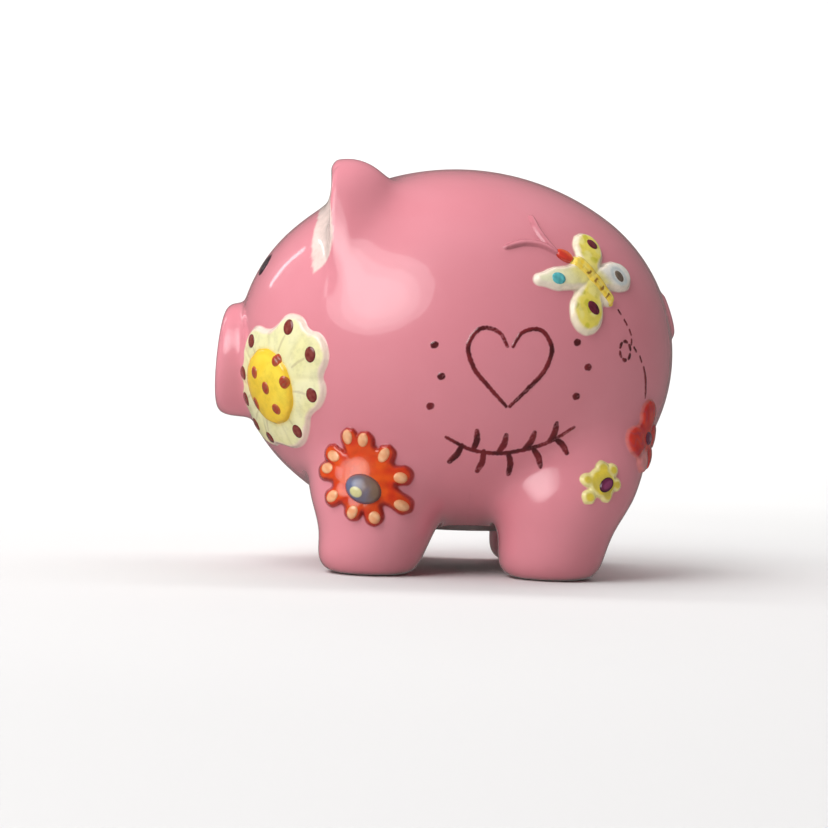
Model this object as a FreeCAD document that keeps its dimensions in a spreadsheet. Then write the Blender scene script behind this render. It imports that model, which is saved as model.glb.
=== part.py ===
import FreeCAD, Part
import os
import math
import Sketcher

# Glazed ceramic piggy bank, all sizes in millimetres.
# The pig stands on z = 0, faces -Y, and its left flank is on the +X side.
# The egg-shaped shell is slip cast; ears, snout, legs, tail and the flower
# sprigs are luted on before firing; a soft stopper closes the belly hole.

V = FreeCAD.Vector
Rot = FreeCAD.Rotation
Plc = FreeCAD.Placement

doc = FreeCAD.newDocument("piggy_bank")
sheet = doc.addObject("Spreadsheet::Sheet", "Dimensions")

SIZES = [
    # egg: three tangent arcs turned about a level axis
    ("axis_height", 53.2, "height of the shell's axis"),
    ("equator_y", 3.0, "where the shell is widest"),
    ("barrel_radius", 45.2, "radius of the shell at its widest"),
    ("side_arc", 62.0, "radius of the long side arc"),
    ("front_arc", 39.5, "radius of the face arc"),
    ("rear_arc", 41.5, "radius of the rump arc"),
    ("wall", 4.5, "wall of the cast shell"),
    ("slot_length", 34.0, "coin slot along the back"),
    ("slot_width", 5.0, "coin slot across the back"),
    ("slot_y", 3.0, "middle of the coin slot"),
    ("plug_y", 5.0, "middle of the belly hole"),
    ("plug_hole_radius", 13.0, "belly hole"),
    ("seat_radius", 16.3, "recess for the stopper's flange"),
    ("seat_height", 12.2, "height of the recess floor above the table"),
    # stopper
    ("running_gap", 0.05, "gap between stopper and hole"),
    ("flange_radius", 15.5, "stopper flange"),
    ("flange_thick", 2.2, "stopper flange"),
    ("plug_length", 8.6, "stopper above its flange"),
    ("plug_wall", 2.4, "stopper's rim wall"),
    ("lead_in", 1.2, "taper at the top of the stopper"),
    ("grip_radius", 8.5, "finger recess in the flange"),
    ("grip_depth", 1.4, "finger recess in the flange"),
    ("grip_bar", 3.0, "bar left across the recess"),
    # snout
    ("snout_radius", 13.9, "snout disc"),
    ("snout_length", 13.0, "snout disc, into the face"),
    ("snout_front", -55.65, "middle of the snout's face"),
    ("snout_height", 50.2, "middle of the snout's face"),
    ("snout_tilt", 4.0, "the face looks up by this angle"),
    ("snout_round", 3.0, "rounding of the snout's rim"),
    ("nostril_half", 1.5, "half width of a nostril"),
    ("nostril_long", 4.4, "straight part of a nostril"),
    ("nostril_out", 4.9, "nostril from the middle"),
    ("nostril_deep", 2.2, "nostril depth"),
    # legs: stacked circles
    ("leg_out", 25.0, "legs from the middle plane"),
    ("front_leg_y", -16.5, "front legs"),
    ("rear_leg_y", 25.8, "rear legs"),
    ("foot_flat", 9.6, "flat under a foot"),
    ("foot_edge_up", 2.6, "height of the foot's rounding"),
    ("foot_edge", 11.5, "radius above the rounding"),
    ("ankle_up", 10.0, "height of the ankle section"),
    ("front_ankle", 13.6, "front ankle radius"),
    ("rear_ankle", 13.4, "rear ankle radius"),
    ("shank_up", 20.0, "height of the shank section"),
    ("front_shank", 16.4, "front shank radius"),
    ("rear_shank", 17.0, "rear shank radius"),
    ("hip_up", 32.0, "height of the hip section"),
    ("front_hip", 15.6, "front hip radius"),
    ("rear_hip", 17.2, "rear hip radius"),
    ("haunch_up", 44.0, "height of the haunch section"),
    ("front_haunch", 12.0, "radius of the front leg's top, inside the shell"),
    ("rear_haunch", 16.5, "radius of the rear leg's top, inside the shell"),
    # ears
    ("ear_x", 20.3, "middle of the ear's root"),
    ("ear_y", -21.0, "middle of the ear's root"),
    ("ear_height", 80.9, "middle of the ear's root"),
    ("ear_lean", 37.35, "the ear leans out by this angle"),
    ("ear_root_half", 15.6, "half width at the root"),
    ("ear_root_thick", 8.4, "half thickness at the root"),
    ("ear_mid_half", 14.2, "half width above the root"),
    ("ear_mid_thick", 7.8, "half thickness above the root"),
    ("ear_blade_half", 9.6, "half width of the blade"),
    ("ear_blade_thick", 6.0, "half thickness of the blade"),
    ("ear_tip_half", 3.4, "half width at the tip"),
    ("ear_tip_thick", 3.2, "half thickness at the tip"),
    ("ear_tip_up", 15.3, "height of the tip above the root"),
    ("ear_dish", 14.0, "radius of the hollow in front"),
    # tail
    ("tail_height", 65.5, "middle of the curl"),
    ("tail_big", 6.0, "outer turn of the curl"),
    ("tail_small", 3.9, "inner turn of the curl"),
    ("tail_thick", 2.3, "radius of the tail"),
    ("tail_sunk", 1.3, "how far the tail is pressed into the rump"),
    # eyes
    ("eye_x", 10.5, "eye from the middle plane"),
    ("eye_y", -43.2, "eye"),
    ("eye_height", 74.9, "eye"),
    ("eye_radius", 2.3, "eye bead"),
    # sprigs
    ("petal_thick", 1.5, "thickness of a petal sprig"),
    ("cheek_y", -40.0, "cheek flower"),
    ("cheek_height", 43.6, "cheek flower"),
    ("cheek_core", 11.0, "disc behind the cheek petals"),
    ("cheek_ring", 10.8, "ring the cheek petals stand on"),
    ("cheek_petal", 4.7, "cheek petal"),
    ("cheek_button", 8.4, "domed middle of the cheek flower"),
    ("cheek_button_rise", 2.9, "height of the domed middle"),
    ("orange_x", 38.2, "orange flower, on the front leg's side"),
    ("orange_y", -17.9, "orange flower"),
    ("orange_height", 22.8, "orange flower"),
    ("orange_core", 6.8, "disc behind the orange petals"),
    ("orange_ring", 7.5, "ring the orange petals stand on"),
    ("orange_petal", 3.1, "orange petal"),
    ("bead_long", 4.5, "half length of the bead"),
    ("bead_short", 3.5, "half width of the bead"),
    ("bead_rise", 2.4, "height of the bead"),
    ("red_y", 46.4, "red flower"),
    ("red_height", 35.5, "red flower"),
    ("red_core", 3.8, "disc behind the red petals"),
    ("red_ring", 4.5, "ring the red petals stand on"),
    ("red_petal", 2.8, "red petal"),
    ("red_bead", 1.7, "middle of the red flower"),
    ("yellow_x", 36.2, "yellow flower, on the rear leg's side"),
    ("yellow_y", 36.3, "yellow flower"),
    ("yellow_height", 23.5, "yellow flower"),
    ("yellow_core", 2.7, "disc behind the yellow petals"),
    ("yellow_ring", 3.2, "ring the yellow petals stand on"),
    ("yellow_petal", 1.7, "yellow petal"),
    ("yellow_bead", 1.5, "middle of the yellow flower"),
    ("leg_dome", 60.0, "doming of the sprigs on the legs"),
    ("wing_rise", 1.7, "thickness of the butterfly's wings"),
    ("feeler_rise", 0.9, "thickness of the feelers"),
    ("glaze_dot", 1.15, "radius of a glaze dot"),
    ("small_dot", 0.8, "radius of a small glaze dot"),
    ("dot_rise", 0.45, "rise of a glaze dot"),
    ("brush_rise", 0.3, "rise of a brushed line"),
    ("brush_width", 1.15, "width of a brushed line"),
    ("motif_scale", 1.25, "size of the brushed motif"),
]
row = {}
for i, (alias, value, words) in enumerate(SIZES):
    n = i + 1
    sheet.set("A%d" % n, alias)
    sheet.set("B%d" % n, str(value))
    sheet.set("C%d" % n, words)
    sheet.setAlias("B%d" % n, alias)
    row[alias] = value
doc.recompute()

D = "Dimensions."


def size(alias):
    return float(sheet.get(alias))


nodes = {}


def new_body(name, placement=None):
    b = doc.addObject("PartDesign::Body", name)
    b.Label = name
    try:
        b.AllowCompound = True
    except AttributeError:
        pass
    if placement is not None:
        b.Placement = placement
    return b


def plane(body, role):
    for f in body.Origin.OriginFeatures:
        if f.Role == role:
            return f
    raise RuntimeError(role)


def new_sketch(body, name, role, lift=None):
    sk = body.newObject("Sketcher::SketchObject", name)
    sk.AttachmentSupport = (plane(body, role), [""])
    sk.MapMode = "FlatFace"
    if lift is not None:
        sk.AttachmentOffset = Plc(V(0, 0, 0), Rot())
        sk.setExpression("AttachmentOffset.Base.z", lift)
    return sk


def bind(sk, constraint, name, expression):
    k = sk.addConstraint(constraint)
    sk.renameConstraint(k, name)
    sk.setExpression("Constraints." + name, expression)
    return k


def circle(sk, tag, cx, cy, r, ex, ey, er):
    g = sk.addGeometry(Part.Circle(V(cx, cy, 0), V(0, 0, 1), r), False)
    if ex is None:
        sk.addConstraint(Sketcher.Constraint("PointOnObject", g, 3, -2))
    else:
        bind(sk, Sketcher.Constraint("DistanceX", -1, 1, g, 3, cx), tag + "_x", ex)
    if ey is None:
        sk.addConstraint(Sketcher.Constraint("PointOnObject", g, 3, -1))
    else:
        bind(sk, Sketcher.Constraint("DistanceY", -1, 1, g, 3, cy), tag + "_y", ey)
    bind(sk, Sketcher.Constraint("Radius", g, r), tag + "_r", er)
    return g


def egg_sketch(body, name, grow):
    """Half outline of the egg in the YZ plane; grow is added to every radius."""
    sk = new_sketch(body, name, "YZ_Plane")
    gv = grow[0]
    rs, rf, rb = size("side_arc"), size("front_arc"), size("rear_arc")
    k = rs - size("barrel_radius")
    ye = size("equator_y")
    df = math.sqrt((rs - rf) ** 2 - k * k)
    db = math.sqrt((rs - rb) ** 2 - k * k)
    af = math.atan2(k, -df)
    ab = math.atan2(k, db)
    z = V(0, 0, 1)
    g0 = sk.addGeometry(Part.ArcOfCircle(Part.Circle(V(ye - df, 0, 0), z, rf + gv), af, math.pi), False)
    g1 = sk.addGeometry(Part.ArcOfCircle(Part.Circle(V(ye, -k, 0), z, rs + gv), ab, af), False)
    g2 = sk.addGeometry(Part.ArcOfCircle(Part.Circle(V(ye + db, 0, 0), z, rb + gv), 0, ab), False)
    g3 = sk.addGeometry(Part.LineSegment(V(ye - df - rf - gv, 0, 0), V(ye + db + rb + gv, 0, 0)), False)
    C = Sketcher.Constraint
    sk.addConstraint(C("Tangent", g2, 2, g1, 1))
    sk.addConstraint(C("Tangent", g1, 2, g0, 1))
    sk.addConstraint(C("Coincident", g0, 2, g3, 1))
    sk.addConstraint(C("Coincident", g3, 2, g2, 1))
    sk.addConstraint(C("PointOnObject", g0, 3, -1))
    sk.addConstraint(C("PointOnObject", g2, 3, -1))
    sk.addConstraint(C("PointOnObject", g3, 1, -1))
    sk.addConstraint(C("PointOnObject", g3, 2, -1))
    bind(sk, C("DistanceX", -1, 1, g1, 3, ye), "equator", D + "equator_y")
    bind(sk, C("DistanceY", g1, 3, -1, 1, k), "side_centre", D + "side_arc - " + D + "barrel_radius")
    bind(sk, C("Radius", g1, rs + gv), "side", D + "side_arc" + grow[1])
    bind(sk, C("Radius", g0, rf + gv), "front", D + "front_arc" + grow[1])
    bind(sk, C("Radius", g2, rb + gv), "rear", D + "rear_arc" + grow[1])
    return sk


def turned(body, name, sk, kind="PartDesign::Revolution", axis="H_Axis"):
    f = body.newObject(kind, name)
    f.Profile = sk
    f.ReferenceAxis = (sk, [axis])
    f.Angle = 360.0
    return f


def egg_solid(name, grow):
    b = new_body(name)
    b.setExpression("Placement.Base.z", D + "axis_height")
    sk = egg_sketch(b, name + "_outline", grow)
    turned(b, name + "_turned", sk)
    return b


def check_cut(body, before, what):
    doc.recompute()
    after = body.Shape.Volume
    if not after < before - 1.0:
        raise RuntimeError("%s cut nothing (%.1f to %.1f)" % (what, before, after))
    return after


def cut(label, base, tool):
    f = doc.addObject("Part::Cut", label)
    f.Label = label
    f.Base = base
    f.Tool = tool
    f.Refine = False
    return f


# ---------------------------------------------------------------- shell
egg = egg_solid("egg_outside", (0.0, ""))
doc.recompute()

shell = egg_solid("body_shell", (0.0, ""))
doc.recompute()
vol = shell.Shape.Volume
hollow = egg_sketch(shell, "hollow_outline", (-size("wall"), " - " + D + "wall"))
turned(shell, "hollow", hollow, "PartDesign::Groove")
vol = check_cut(shell, vol, "hollow")

# coin slot: a rounded slot through the back
sk = new_sketch(shell, "slot_outline", "XY_Plane")
w, l, sy = size("slot_width"), size("slot_length"), size("slot_y")
r = w / 2
hl = l / 2 - r
z1 = V(0, 0, 1)
a = sk.addGeometry(Part.ArcOfCircle(Part.Circle(V(0, sy + hl, 0), z1, r), 0, math.pi), False)
b_ = sk.addGeometry(Part.LineSegment(V(-r, sy + hl, 0), V(-r, sy - hl, 0)), False)
c = sk.addGeometry(Part.ArcOfCircle(Part.Circle(V(0, sy - hl, 0), z1, r), math.pi, 2 * math.pi), False)
d = sk.addGeometry(Part.LineSegment(V(r, sy - hl, 0), V(r, sy + hl, 0)), False)
C = Sketcher.Constraint
sk.addConstraint(C("Tangent", a, 2, b_, 1))
sk.addConstraint(C("Tangent", b_, 2, c, 1))
sk.addConstraint(C("Tangent", c, 2, d, 1))
sk.addConstraint(C("Tangent", d, 2, a, 1))
sk.addConstraint(C("PointOnObject", a, 3, -2))
sk.addConstraint(C("PointOnObject", c, 3, -2))
bind(sk, C("Radius", a, r), "half_width", D + "slot_width / 2")
bind(sk, C("DistanceY", c, 3, a, 3, 2 * hl), "straight", D + "slot_length - " + D + "slot_width")
bind(sk, C("DistanceY", -1, 1, c, 3, sy - hl), "start", D + "slot_y - (" + D + "slot_length - " + D + "slot_width) / 2")
slot = shell.newObject("PartDesign::Pocket", "coin_slot")
slot.Profile = sk
slot.Length = 60
slot.setExpression("Length", D + "barrel_radius + 10")
slot.Reversed = True
vol = check_cut(shell, vol, "coin slot")

# belly hole and the recess its stopper lies in
sk = new_sketch(shell, "belly_hole_outline", "XY_Plane")
circle(sk, "hole", 0, size("plug_y"), size("plug_hole_radius"), None, D + "plug_y", D + "plug_hole_radius")
hole = shell.newObject("PartDesign::Pocket", "belly_hole")
hole.Profile = sk
hole.setExpression("Length", D + "barrel_radius + 10")
vol = check_cut(shell, vol, "belly hole")

sk = new_sketch(shell, "seat_outline", "XY_Plane", D + "seat_height - " + D + "axis_height")
circle(sk, "seat", 0, size("plug_y"), size("seat_radius"), None, D + "plug_y", D + "seat_radius")
seat = shell.newObject("PartDesign::Pocket", "stopper_seat")
seat.Profile = sk
seat.setExpression("Length", D + "seat_height")
vol = check_cut(shell, vol, "stopper seat")
nodes["body_shell"] = shell

# ---------------------------------------------------------------- stopper
stop = new_body("stopper")
stop.setExpression("Placement.Base.y", D + "plug_y")
stop.setExpression("Placement.Base.z", D + "seat_height - " + D + "running_gap")
sk = new_sketch(stop, "stopper_outline", "XZ_Plane")
fr, ft = size("flange_radius"), size("flange_thick")
pr = size("plug_hole_radius") - size("running_gap")
pl, pw, li = size("plug_length"), size("plug_wall"), size("lead_in")
pts = [(0, -ft), (fr - 0.6, -ft), (fr, -ft + 0.6), (fr, 0), (pr, 0), (pr, pl - 3.0), (pr - li, pl),
       (pr - pw, pl), (pr - pw, 1.6), (0, 1.6)]
ids = []
for i in range(len(pts)):
    p, q = pts[i], pts[(i + 1) % len(pts)]
    ids.append(sk.addGeometry(Part.LineSegment(V(p[0], p[1], 0), V(q[0], q[1], 0)), False))
for i in range(len(ids)):
    sk.addConstraint(C("Coincident", ids[i], 2, ids[(i + 1) % len(ids)], 1))
sk.addConstraint(C("PointOnObject", ids[0], 1, -2))
sk.addConstraint(C("Vertical", ids[9]))
for k in (0, 3, 6, 8):
    sk.addConstraint(C("Horizontal", ids[k]))
for k in (2, 4, 7):
    sk.addConstraint(C("Vertical", ids[k]))
bind(sk, C("DistanceX", -1, 1, ids[2], 2, fr), "flange", D + "flange_radius")
bind(sk, C("DistanceX", ids[0], 2, ids[1], 2, 0.6), "edge_in", D + "flange_thick * 0.27")
bind(sk, C("DistanceY", ids[0], 2, ids[1], 2, 0.6), "edge_up", D + "flange_thick * 0.27")
bind(sk, C("DistanceY", ids[0], 1, -1, 1, ft), "thick", D + "flange_thick")
sk.addConstraint(C("PointOnObject", ids[3], 1, -1))
bind(sk, C("DistanceX", -1, 1, ids[3], 2, pr), "plug", D + "plug_hole_radius - " + D + "running_gap")
bind(sk, C("DistanceY", -1, 1, ids[5], 2, pl), "rise", D + "plug_length")
bind(sk, C("DistanceY", ids[5], 1, ids[5], 2, 3.0), "taper_rise", D + "lead_in * 2.5")
bind(sk, C("DistanceX", ids[5], 2, ids[5], 1, li), "taper_in", D + "lead_in")
bind(sk, C("DistanceX", ids[6], 2, ids[4], 1, pw), "rim", D + "plug_wall")
bind(sk, C("DistanceY", -1, 1, ids[7], 2, 1.6), "web", D + "flange_thick * 0.73")
turned(stop, "stopper_turned", sk, axis="V_Axis")
doc.recompute()
vol = stop.Shape.Volume
# two half-moon finger recesses with a bar between them
sk = new_sketch(stop, "grip_outline", "XY_Plane", "-" + D + "flange_thick")
gr, gb = size("grip_radius"), size("grip_bar")
for sgn, tag in ((1, "near"), (-1, "far")):
    a0 = math.asin(gb / 2 / gr)
    if sgn > 0:
        arc = Part.ArcOfCircle(Part.Circle(V(0, 0, 0), z1, gr), a0, math.pi - a0)
    else:
        arc = Part.ArcOfCircle(Part.Circle(V(0, 0, 0), z1, gr), math.pi + a0, 2 * math.pi - a0)
    ga = sk.addGeometry(arc, False)
    p0, p1 = arc.StartPoint, arc.EndPoint
    gl = sk.addGeometry(Part.LineSegment(p1, p0), False)
    sk.addConstraint(C("Coincident", ga, 2, gl, 1))
    sk.addConstraint(C("Coincident", gl, 2, ga, 1))
    sk.addConstraint(C("Coincident", ga, 3, -1, 1))
    sk.addConstraint(C("Horizontal", gl))
    bind(sk, C("Radius", ga, gr), tag + "_radius", D + "grip_radius")
    if sgn > 0:
        bind(sk, C("DistanceY", -1, 1, gl, 1, gb / 2), tag + "_bar", D + "grip_bar / 2")
    else:
        bind(sk, C("DistanceY", gl, 1, -1, 1, gb / 2), tag + "_bar", D + "grip_bar / 2")
grip = stop.newObject("PartDesign::Pocket", "finger_recess")
grip.Profile = sk
grip.setExpression("Length", D + "grip_depth")
grip.Reversed = True
check_cut(stop, vol, "finger recess")
nodes["stopper"] = stop

# ---------------------------------------------------------------- legs
def leg(name, y_alias, ankle, shank, hip, haunch, back):
    """A stack of circles, from the foot to a top that ends inside the shell."""
    b = new_body(name + "_blank")
    b.setExpression("Placement.Base.x", D + "leg_out")
    b.setExpression("Placement.Base.y", D + y_alias)
    secs = [
        ("foot", None, None, None, "foot_flat"),
        ("edge", "foot_edge_up", None, None, "foot_edge"),
        ("ankle", "ankle_up", -0.6, back[0], ankle),
        ("shank", "shank_up", -3.9, back[1], shank),
        ("hip", "hip_up", back[4], back[2], hip),
        ("haunch", "haunch_up", back[5], back[3], haunch),
    ]
    sks = []
    for tag, lift, cx, cy, ra in secs:
        s = new_sketch(b, name + "_" + tag, "XY_Plane", (D + lift) if lift else None)
        g = s.addGeometry(Part.Circle(V(cx or 0, cy or 0, 0), z1, size(ra)), False)
        if cx is None:
            s.addConstraint(C("Coincident", g, 3, -1, 1))
        else:
            s.addConstraint(C("DistanceX", -1, 1, g, 3, cx))
            s.addConstraint(C("DistanceY", -1, 1, g, 3, cy))
        bind(s, C("Radius", g, size(ra)), "radius", D + ra)
        sks.append(s)
    loft = b.newObject("PartDesign::AdditiveLoft", name + "_loft")
    loft.Profile = sks[0]
    loft.Sections = [(s, [""]) for s in sks[1:]]
    loft.Ruled = False
    doc.recompute()
    f = cut(name, b, egg)
    nodes[name] = f
    return f


lfl = leg("leg_front_left", "front_leg_y", "front_ankle", "front_shank", "front_hip", "front_haunch",
          (1.3, 1.6, 2.6, 3.0, -7.2, -12.0))
lrl = leg("leg_rear_left", "rear_leg_y", "rear_ankle", "rear_shank", "rear_hip", "rear_haunch",
          (1.0, 3.0, 5.6, 3.4, -8.8, -12.5))


def mirrored(name, source):
    f = doc.addObject("Part::Mirroring", name)
    f.Label = name
    f.Source = source
    f.Normal = V(1, 0, 0)
    f.Base = V(0, 0, 0)
    nodes[name] = f
    return f


lfr = mirrored("leg_front_right", lfl)
lrr = mirrored("leg_rear_right", lrl)

# ---------------------------------------------------------------- ears
ear_place = Plc(V(size("ear_x"), size("ear_y"), size("ear_height")), Rot(V(0, 1, 0), size("ear_lean")))
ear_b = new_body("ear_blank", ear_place)
ear_b.setExpression("Placement.Base.x", D + "ear_x")
ear_b.setExpression("Placement.Base.y", D + "ear_y")
ear_b.setExpression("Placement.Base.z", D + "ear_height")
ear_b.setExpression("Placement.Rotation.Angle", D + "ear_lean")
esks = []
for tag, lift, cx, cy, rx, ry in (("root", -8.0, 0.0, 0.5, "ear_root_half", "ear_root_thick"),
                                  ("mid", 3.0, -0.5, -0.1, "ear_mid_half", "ear_mid_thick"),
                                  ("blade", 10.2, -2.8, -1.6, "ear_blade_half", "ear_blade_thick"),
                                  ("tip", size("ear_tip_up"), -5.2, -3.0, "ear_tip_half", "ear_tip_thick")):
    s = new_sketch(ear_b, "ear_" + tag, "XY_Plane", D + "ear_tip_up" if tag == "tip" else "%g mm" % lift)
    g = s.addGeometry(Part.Ellipse(V(cx + size(rx), cy, 0), V(cx, cy + size(ry), 0), V(cx, cy, 0)), False)
    s.exposeInternalGeometry(g)
    s.addConstraint(C("DistanceX", -1, 1, g, 3, cx))
    s.addConstraint(C("DistanceY", -1, 1, g, 3, cy))
    s.addConstraint(C("Horizontal", g + 1))
    bind(s, C("Distance", g + 1, 2 * size(rx)), "long", D + rx + " * 2")
    bind(s, C("Distance", g + 2, 2 * size(ry)), "short", D + ry + " * 2")
    esks.append(s)
loft = ear_b.newObject("PartDesign::AdditiveLoft", "ear_loft")
loft.Profile = esks[0]
loft.Sections = [(s, [""]) for s in esks[1:]]
doc.recompute()
dish = doc.addObject("Part::Sphere", "ear_dish")
dish.setExpression("Radius", D + "ear_dish")
dish.Placement = ear_place.multiply(Plc(V(-1.5, -19.4, 5.5), Rot()))
doc.recompute()
ear_hollowed = cut("ear_hollowed", ear_b, dish)
ear_l = cut("ear_left", ear_hollowed, egg)
nodes["ear_left"] = ear_l
ear_r = mirrored("ear_right", ear_l)

# ---------------------------------------------------------------- snout
sn_b = new_body("snout_blank", Plc(V(0, size("snout_front"), size("snout_height")), Rot(V(1, 0, 0), 90 - size("snout_tilt"))))
sn_b.setExpression("Placement.Base.y", D + "snout_front")
sn_b.setExpression("Placement.Base.z", D + "snout_height")
sn_b.setExpression("Placement.Rotation.Angle", "90 - " + D + "snout_tilt")
sk = new_sketch(sn_b, "snout_outline", "XY_Plane")
circle(sk, "snout", 0, 0, size("snout_radius"), None, None, D + "snout_radius")
pad = sn_b.newObject("PartDesign::Pad", "snout_pad")
pad.Profile = sk
pad.setExpression("Length", D + "snout_length")
pad.Reversed = True
doc.recompute()
sn_vol = sn_b.Shape.Volume
sk = new_sketch(sn_b, "nostril_outline", "XY_Plane")
for sgn, tag in ((1, "left"), (-1, "right")):
    nh, nl, no = size("nostril_half"), size("nostril_long") / 2, size("nostril_out")
    cx = sgn * no
    a = sk.addGeometry(Part.ArcOfCircle(Part.Circle(V(cx, nl, 0), z1, nh), 0, math.pi), False)
    b_ = sk.addGeometry(Part.LineSegment(V(cx - nh, nl, 0), V(cx - nh, -nl, 0)), False)
    c = sk.addGeometry(Part.ArcOfCircle(Part.Circle(V(cx, -nl, 0), z1, nh), math.pi, 2 * math.pi), False)
    d = sk.addGeometry(Part.LineSegment(V(cx + nh, -nl, 0), V(cx + nh, nl, 0)), False)
    for p, q in ((a, b_), (b_, c), (c, d), (d, a)):
        sk.addConstraint(C("Tangent", p, 2, q, 1))
    bind(sk, C("Radius", a, nh), tag + "_half", D + "nostril_half")
    bind(sk, C("DistanceY", c, 3, a, 3, 2 * nl), tag + "_long", D + "nostril_long")
    sk.addConstraint(C("Vertical", b_))
    bind(sk, C("DistanceY", -1, 1, a, 3, nl), tag + "_top", D + "nostril_long / 2")
    if sgn > 0:
        bind(sk, C("DistanceX", -1, 1, a, 3, no), tag + "_out", D + "nostril_out")
    else:
        bind(sk, C("DistanceX", a, 3, -1, 1, no), tag + "_out", D + "nostril_out")
nos = sn_b.newObject("PartDesign::Pocket", "nostrils")
nos.Profile = sk
nos.setExpression("Length", D + "nostril_deep")
nos.Reversed = False
doc.recompute()
if not sn_b.Shape.Volume < sn_vol - 1:
    nos.Reversed = True
sn_vol = check_cut(sn_b, sn_vol, "nostrils")
# round the rim of the face
fil = None
for i, e in enumerate(nos.Shape.Edges):
    cc = e.Curve
    if cc.TypeId == "Part::GeomCircle" and abs(cc.Radius - size("snout_radius")) < 1e-6 and abs(cc.Center.z) < 1e-6:
        fil = "Edge%d" % (i + 1)
rim = sn_b.newObject("PartDesign::Fillet", "snout_rim")
rim.Base = (nos, [fil])
rim.setExpression("Radius", D + "snout_round")
doc.recompute()
nodes["snout"] = cut("snout", sn_b, egg)

# ---------------------------------------------------------------- tail
th = size("tail_height") - size("axis_height")
rb = size("rear_arc")
k = size("side_arc") - size("barrel_radius")
cb = size("equator_y") + math.sqrt((size("side_arc") - rb) ** 2 - k * k)
tilt = math.degrees(math.asin(th / rb))
tail_b = new_body("tail_blank", Plc(V(0, cb + math.sqrt(rb * rb - th * th) - size("tail_sunk"), size("tail_height")),
                                    Rot(V(1, 0, 0), -90 + tilt)))
# local z points out of the rump; the curl lies in the local XY plane
tb, ts = size("tail_big"), size("tail_small")
path = new_sketch(tail_b, "tail_path", "XY_Plane")
g0 = path.addGeometry(Part.ArcOfCircle(Part.Circle(V(0, 0, 0), z1, tb), 0, math.pi), False)
g1 = path.addGeometry(Part.ArcOfCircle(Part.Circle(V(-tb + ts, 0, 0), z1, ts), math.pi, math.radians(330)), False)
path.addConstraint(C("Coincident", g0, 3, -1, 1))
path.addConstraint(C("Tangent", g0, 2, g1, 1))
path.addConstraint(C("PointOnObject", g0, 1, -1))
path.addConstraint(C("PointOnObject", g1, 3, -1))
bind(path, C("Radius", g0, tb), "outer", D + "tail_big")
bind(path, C("Radius", g1, ts), "inner", D + "tail_small")
path.addConstraint(C("DistanceY", g1, 2, -1, 1, ts * math.sin(math.radians(30))))
prof = new_sketch(tail_b, "tail_section", "XZ_Plane")
circle(prof, "tail", tb, 0, size("tail_thick"), D + "tail_big", None, D + "tail_thick")
pipe = tail_b.newObject("PartDesign::AdditivePipe", "tail_sweep")
pipe.Profile = prof
pipe.Spine = (path, [""])
doc.recompute()
nodes["tail"] = cut("tail", tail_b, egg)

# ---------------------------------------------------------------- eyes
eyes = []
for sgn, tag in ((1, "left"), (-1, "right")):
    s = doc.addObject("Part::Sphere", "eye_bead_" + tag)
    s.setExpression("Radius", D + "eye_radius")
    s.setExpression("Placement.Base.x", "%d * " % sgn + D + "eye_x")
    s.setExpression("Placement.Base.y", D + "eye_y")
    s.setExpression("Placement.Base.z", D + "eye_height")
    eyes.append(s)
doc.recompute()
comp = doc.addObject("Part::Compound", "eye_pair")
comp.Links = eyes
doc.recompute()
nodes["eyes"] = cut("eyes", comp, egg)
doc.recompute()

# ---------------------------------------------------------------- sprigs
def egg_radius(y):
    rs, rf, rb = size("side_arc"), size("front_arc"), size("rear_arc")
    k = rs - size("barrel_radius")
    ye = size("equator_y")
    df = math.sqrt((rs - rf) ** 2 - k * k)
    db = math.sqrt((rs - rb) ** 2 - k * k)
    if y < ye - df * rs / (rs - rf):
        return math.sqrt(rf * rf - (y - ye + df) ** 2), (y - ye + df) / rf
    if y > ye + db * rs / (rs - rb):
        return math.sqrt(rb * rb - (y - ye - db) ** 2), (y - ye - db) / rb
    return -k + math.sqrt(rs * rs - (y - ye) ** 2), (y - ye) / rs


def facing(origin, normal, turn=0.0):
    """Placement with local z along normal and local y as near upright as it can be."""
    n = V(normal)
    n.normalize()
    xx = V(0, 0, 1).cross(n)
    xx.normalize()
    yy = n.cross(xx)
    return Plc(origin, Rot(xx, yy, n, "ZXY").multiply(Rot(V(0, 0, 1), turn)))


def on_egg(y, height, turn=0.0, sink=0.0):
    """Placement on the left side of the egg at the given y and height."""
    r, ny = egg_radius(y)
    zz = height - size("axis_height")
    x = math.sqrt(r * r - zz * zz)
    c = math.sqrt(1 - ny * ny)
    n = V(x / r * c, ny, zz / r * c)
    return facing(V(x, y, height) - n * sink, n, turn)


def common(label, a, b):
    f = doc.addObject("Part::Common", label)
    f.Label = label
    f.Base = a
    f.Tool = b
    return f


def ball(name, radius_expr, place):
    s = doc.addObject("Part::Sphere", name)
    s.Placement = place
    s.setExpression("Radius", radius_expr)
    return s


def lens(name, place, long_, short, rise):
    """Half-sunk lens: an ellipsoid centred on the surface."""
    e = doc.addObject("Part::Ellipsoid", name)
    e.Placement = place
    for prop, val in (("Radius2", long_), ("Radius3", short), ("Radius1", rise)):
        if isinstance(val, str):
            e.setExpression(prop, val)
        else:
            setattr(e, prop, val)
    return e


def group(name, members):
    c = doc.addObject("Part::Compound", name)
    c.Links = members
    doc.recompute()
    return c


def cut_all(label, base, tools):
    cur = base
    for i, t in enumerate(tools):
        last = i == len(tools) - 1
        cur = cut(label if last else "%s_less_%d" % (label, i + 1), cur, t)
    doc.recompute()
    return cur


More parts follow.
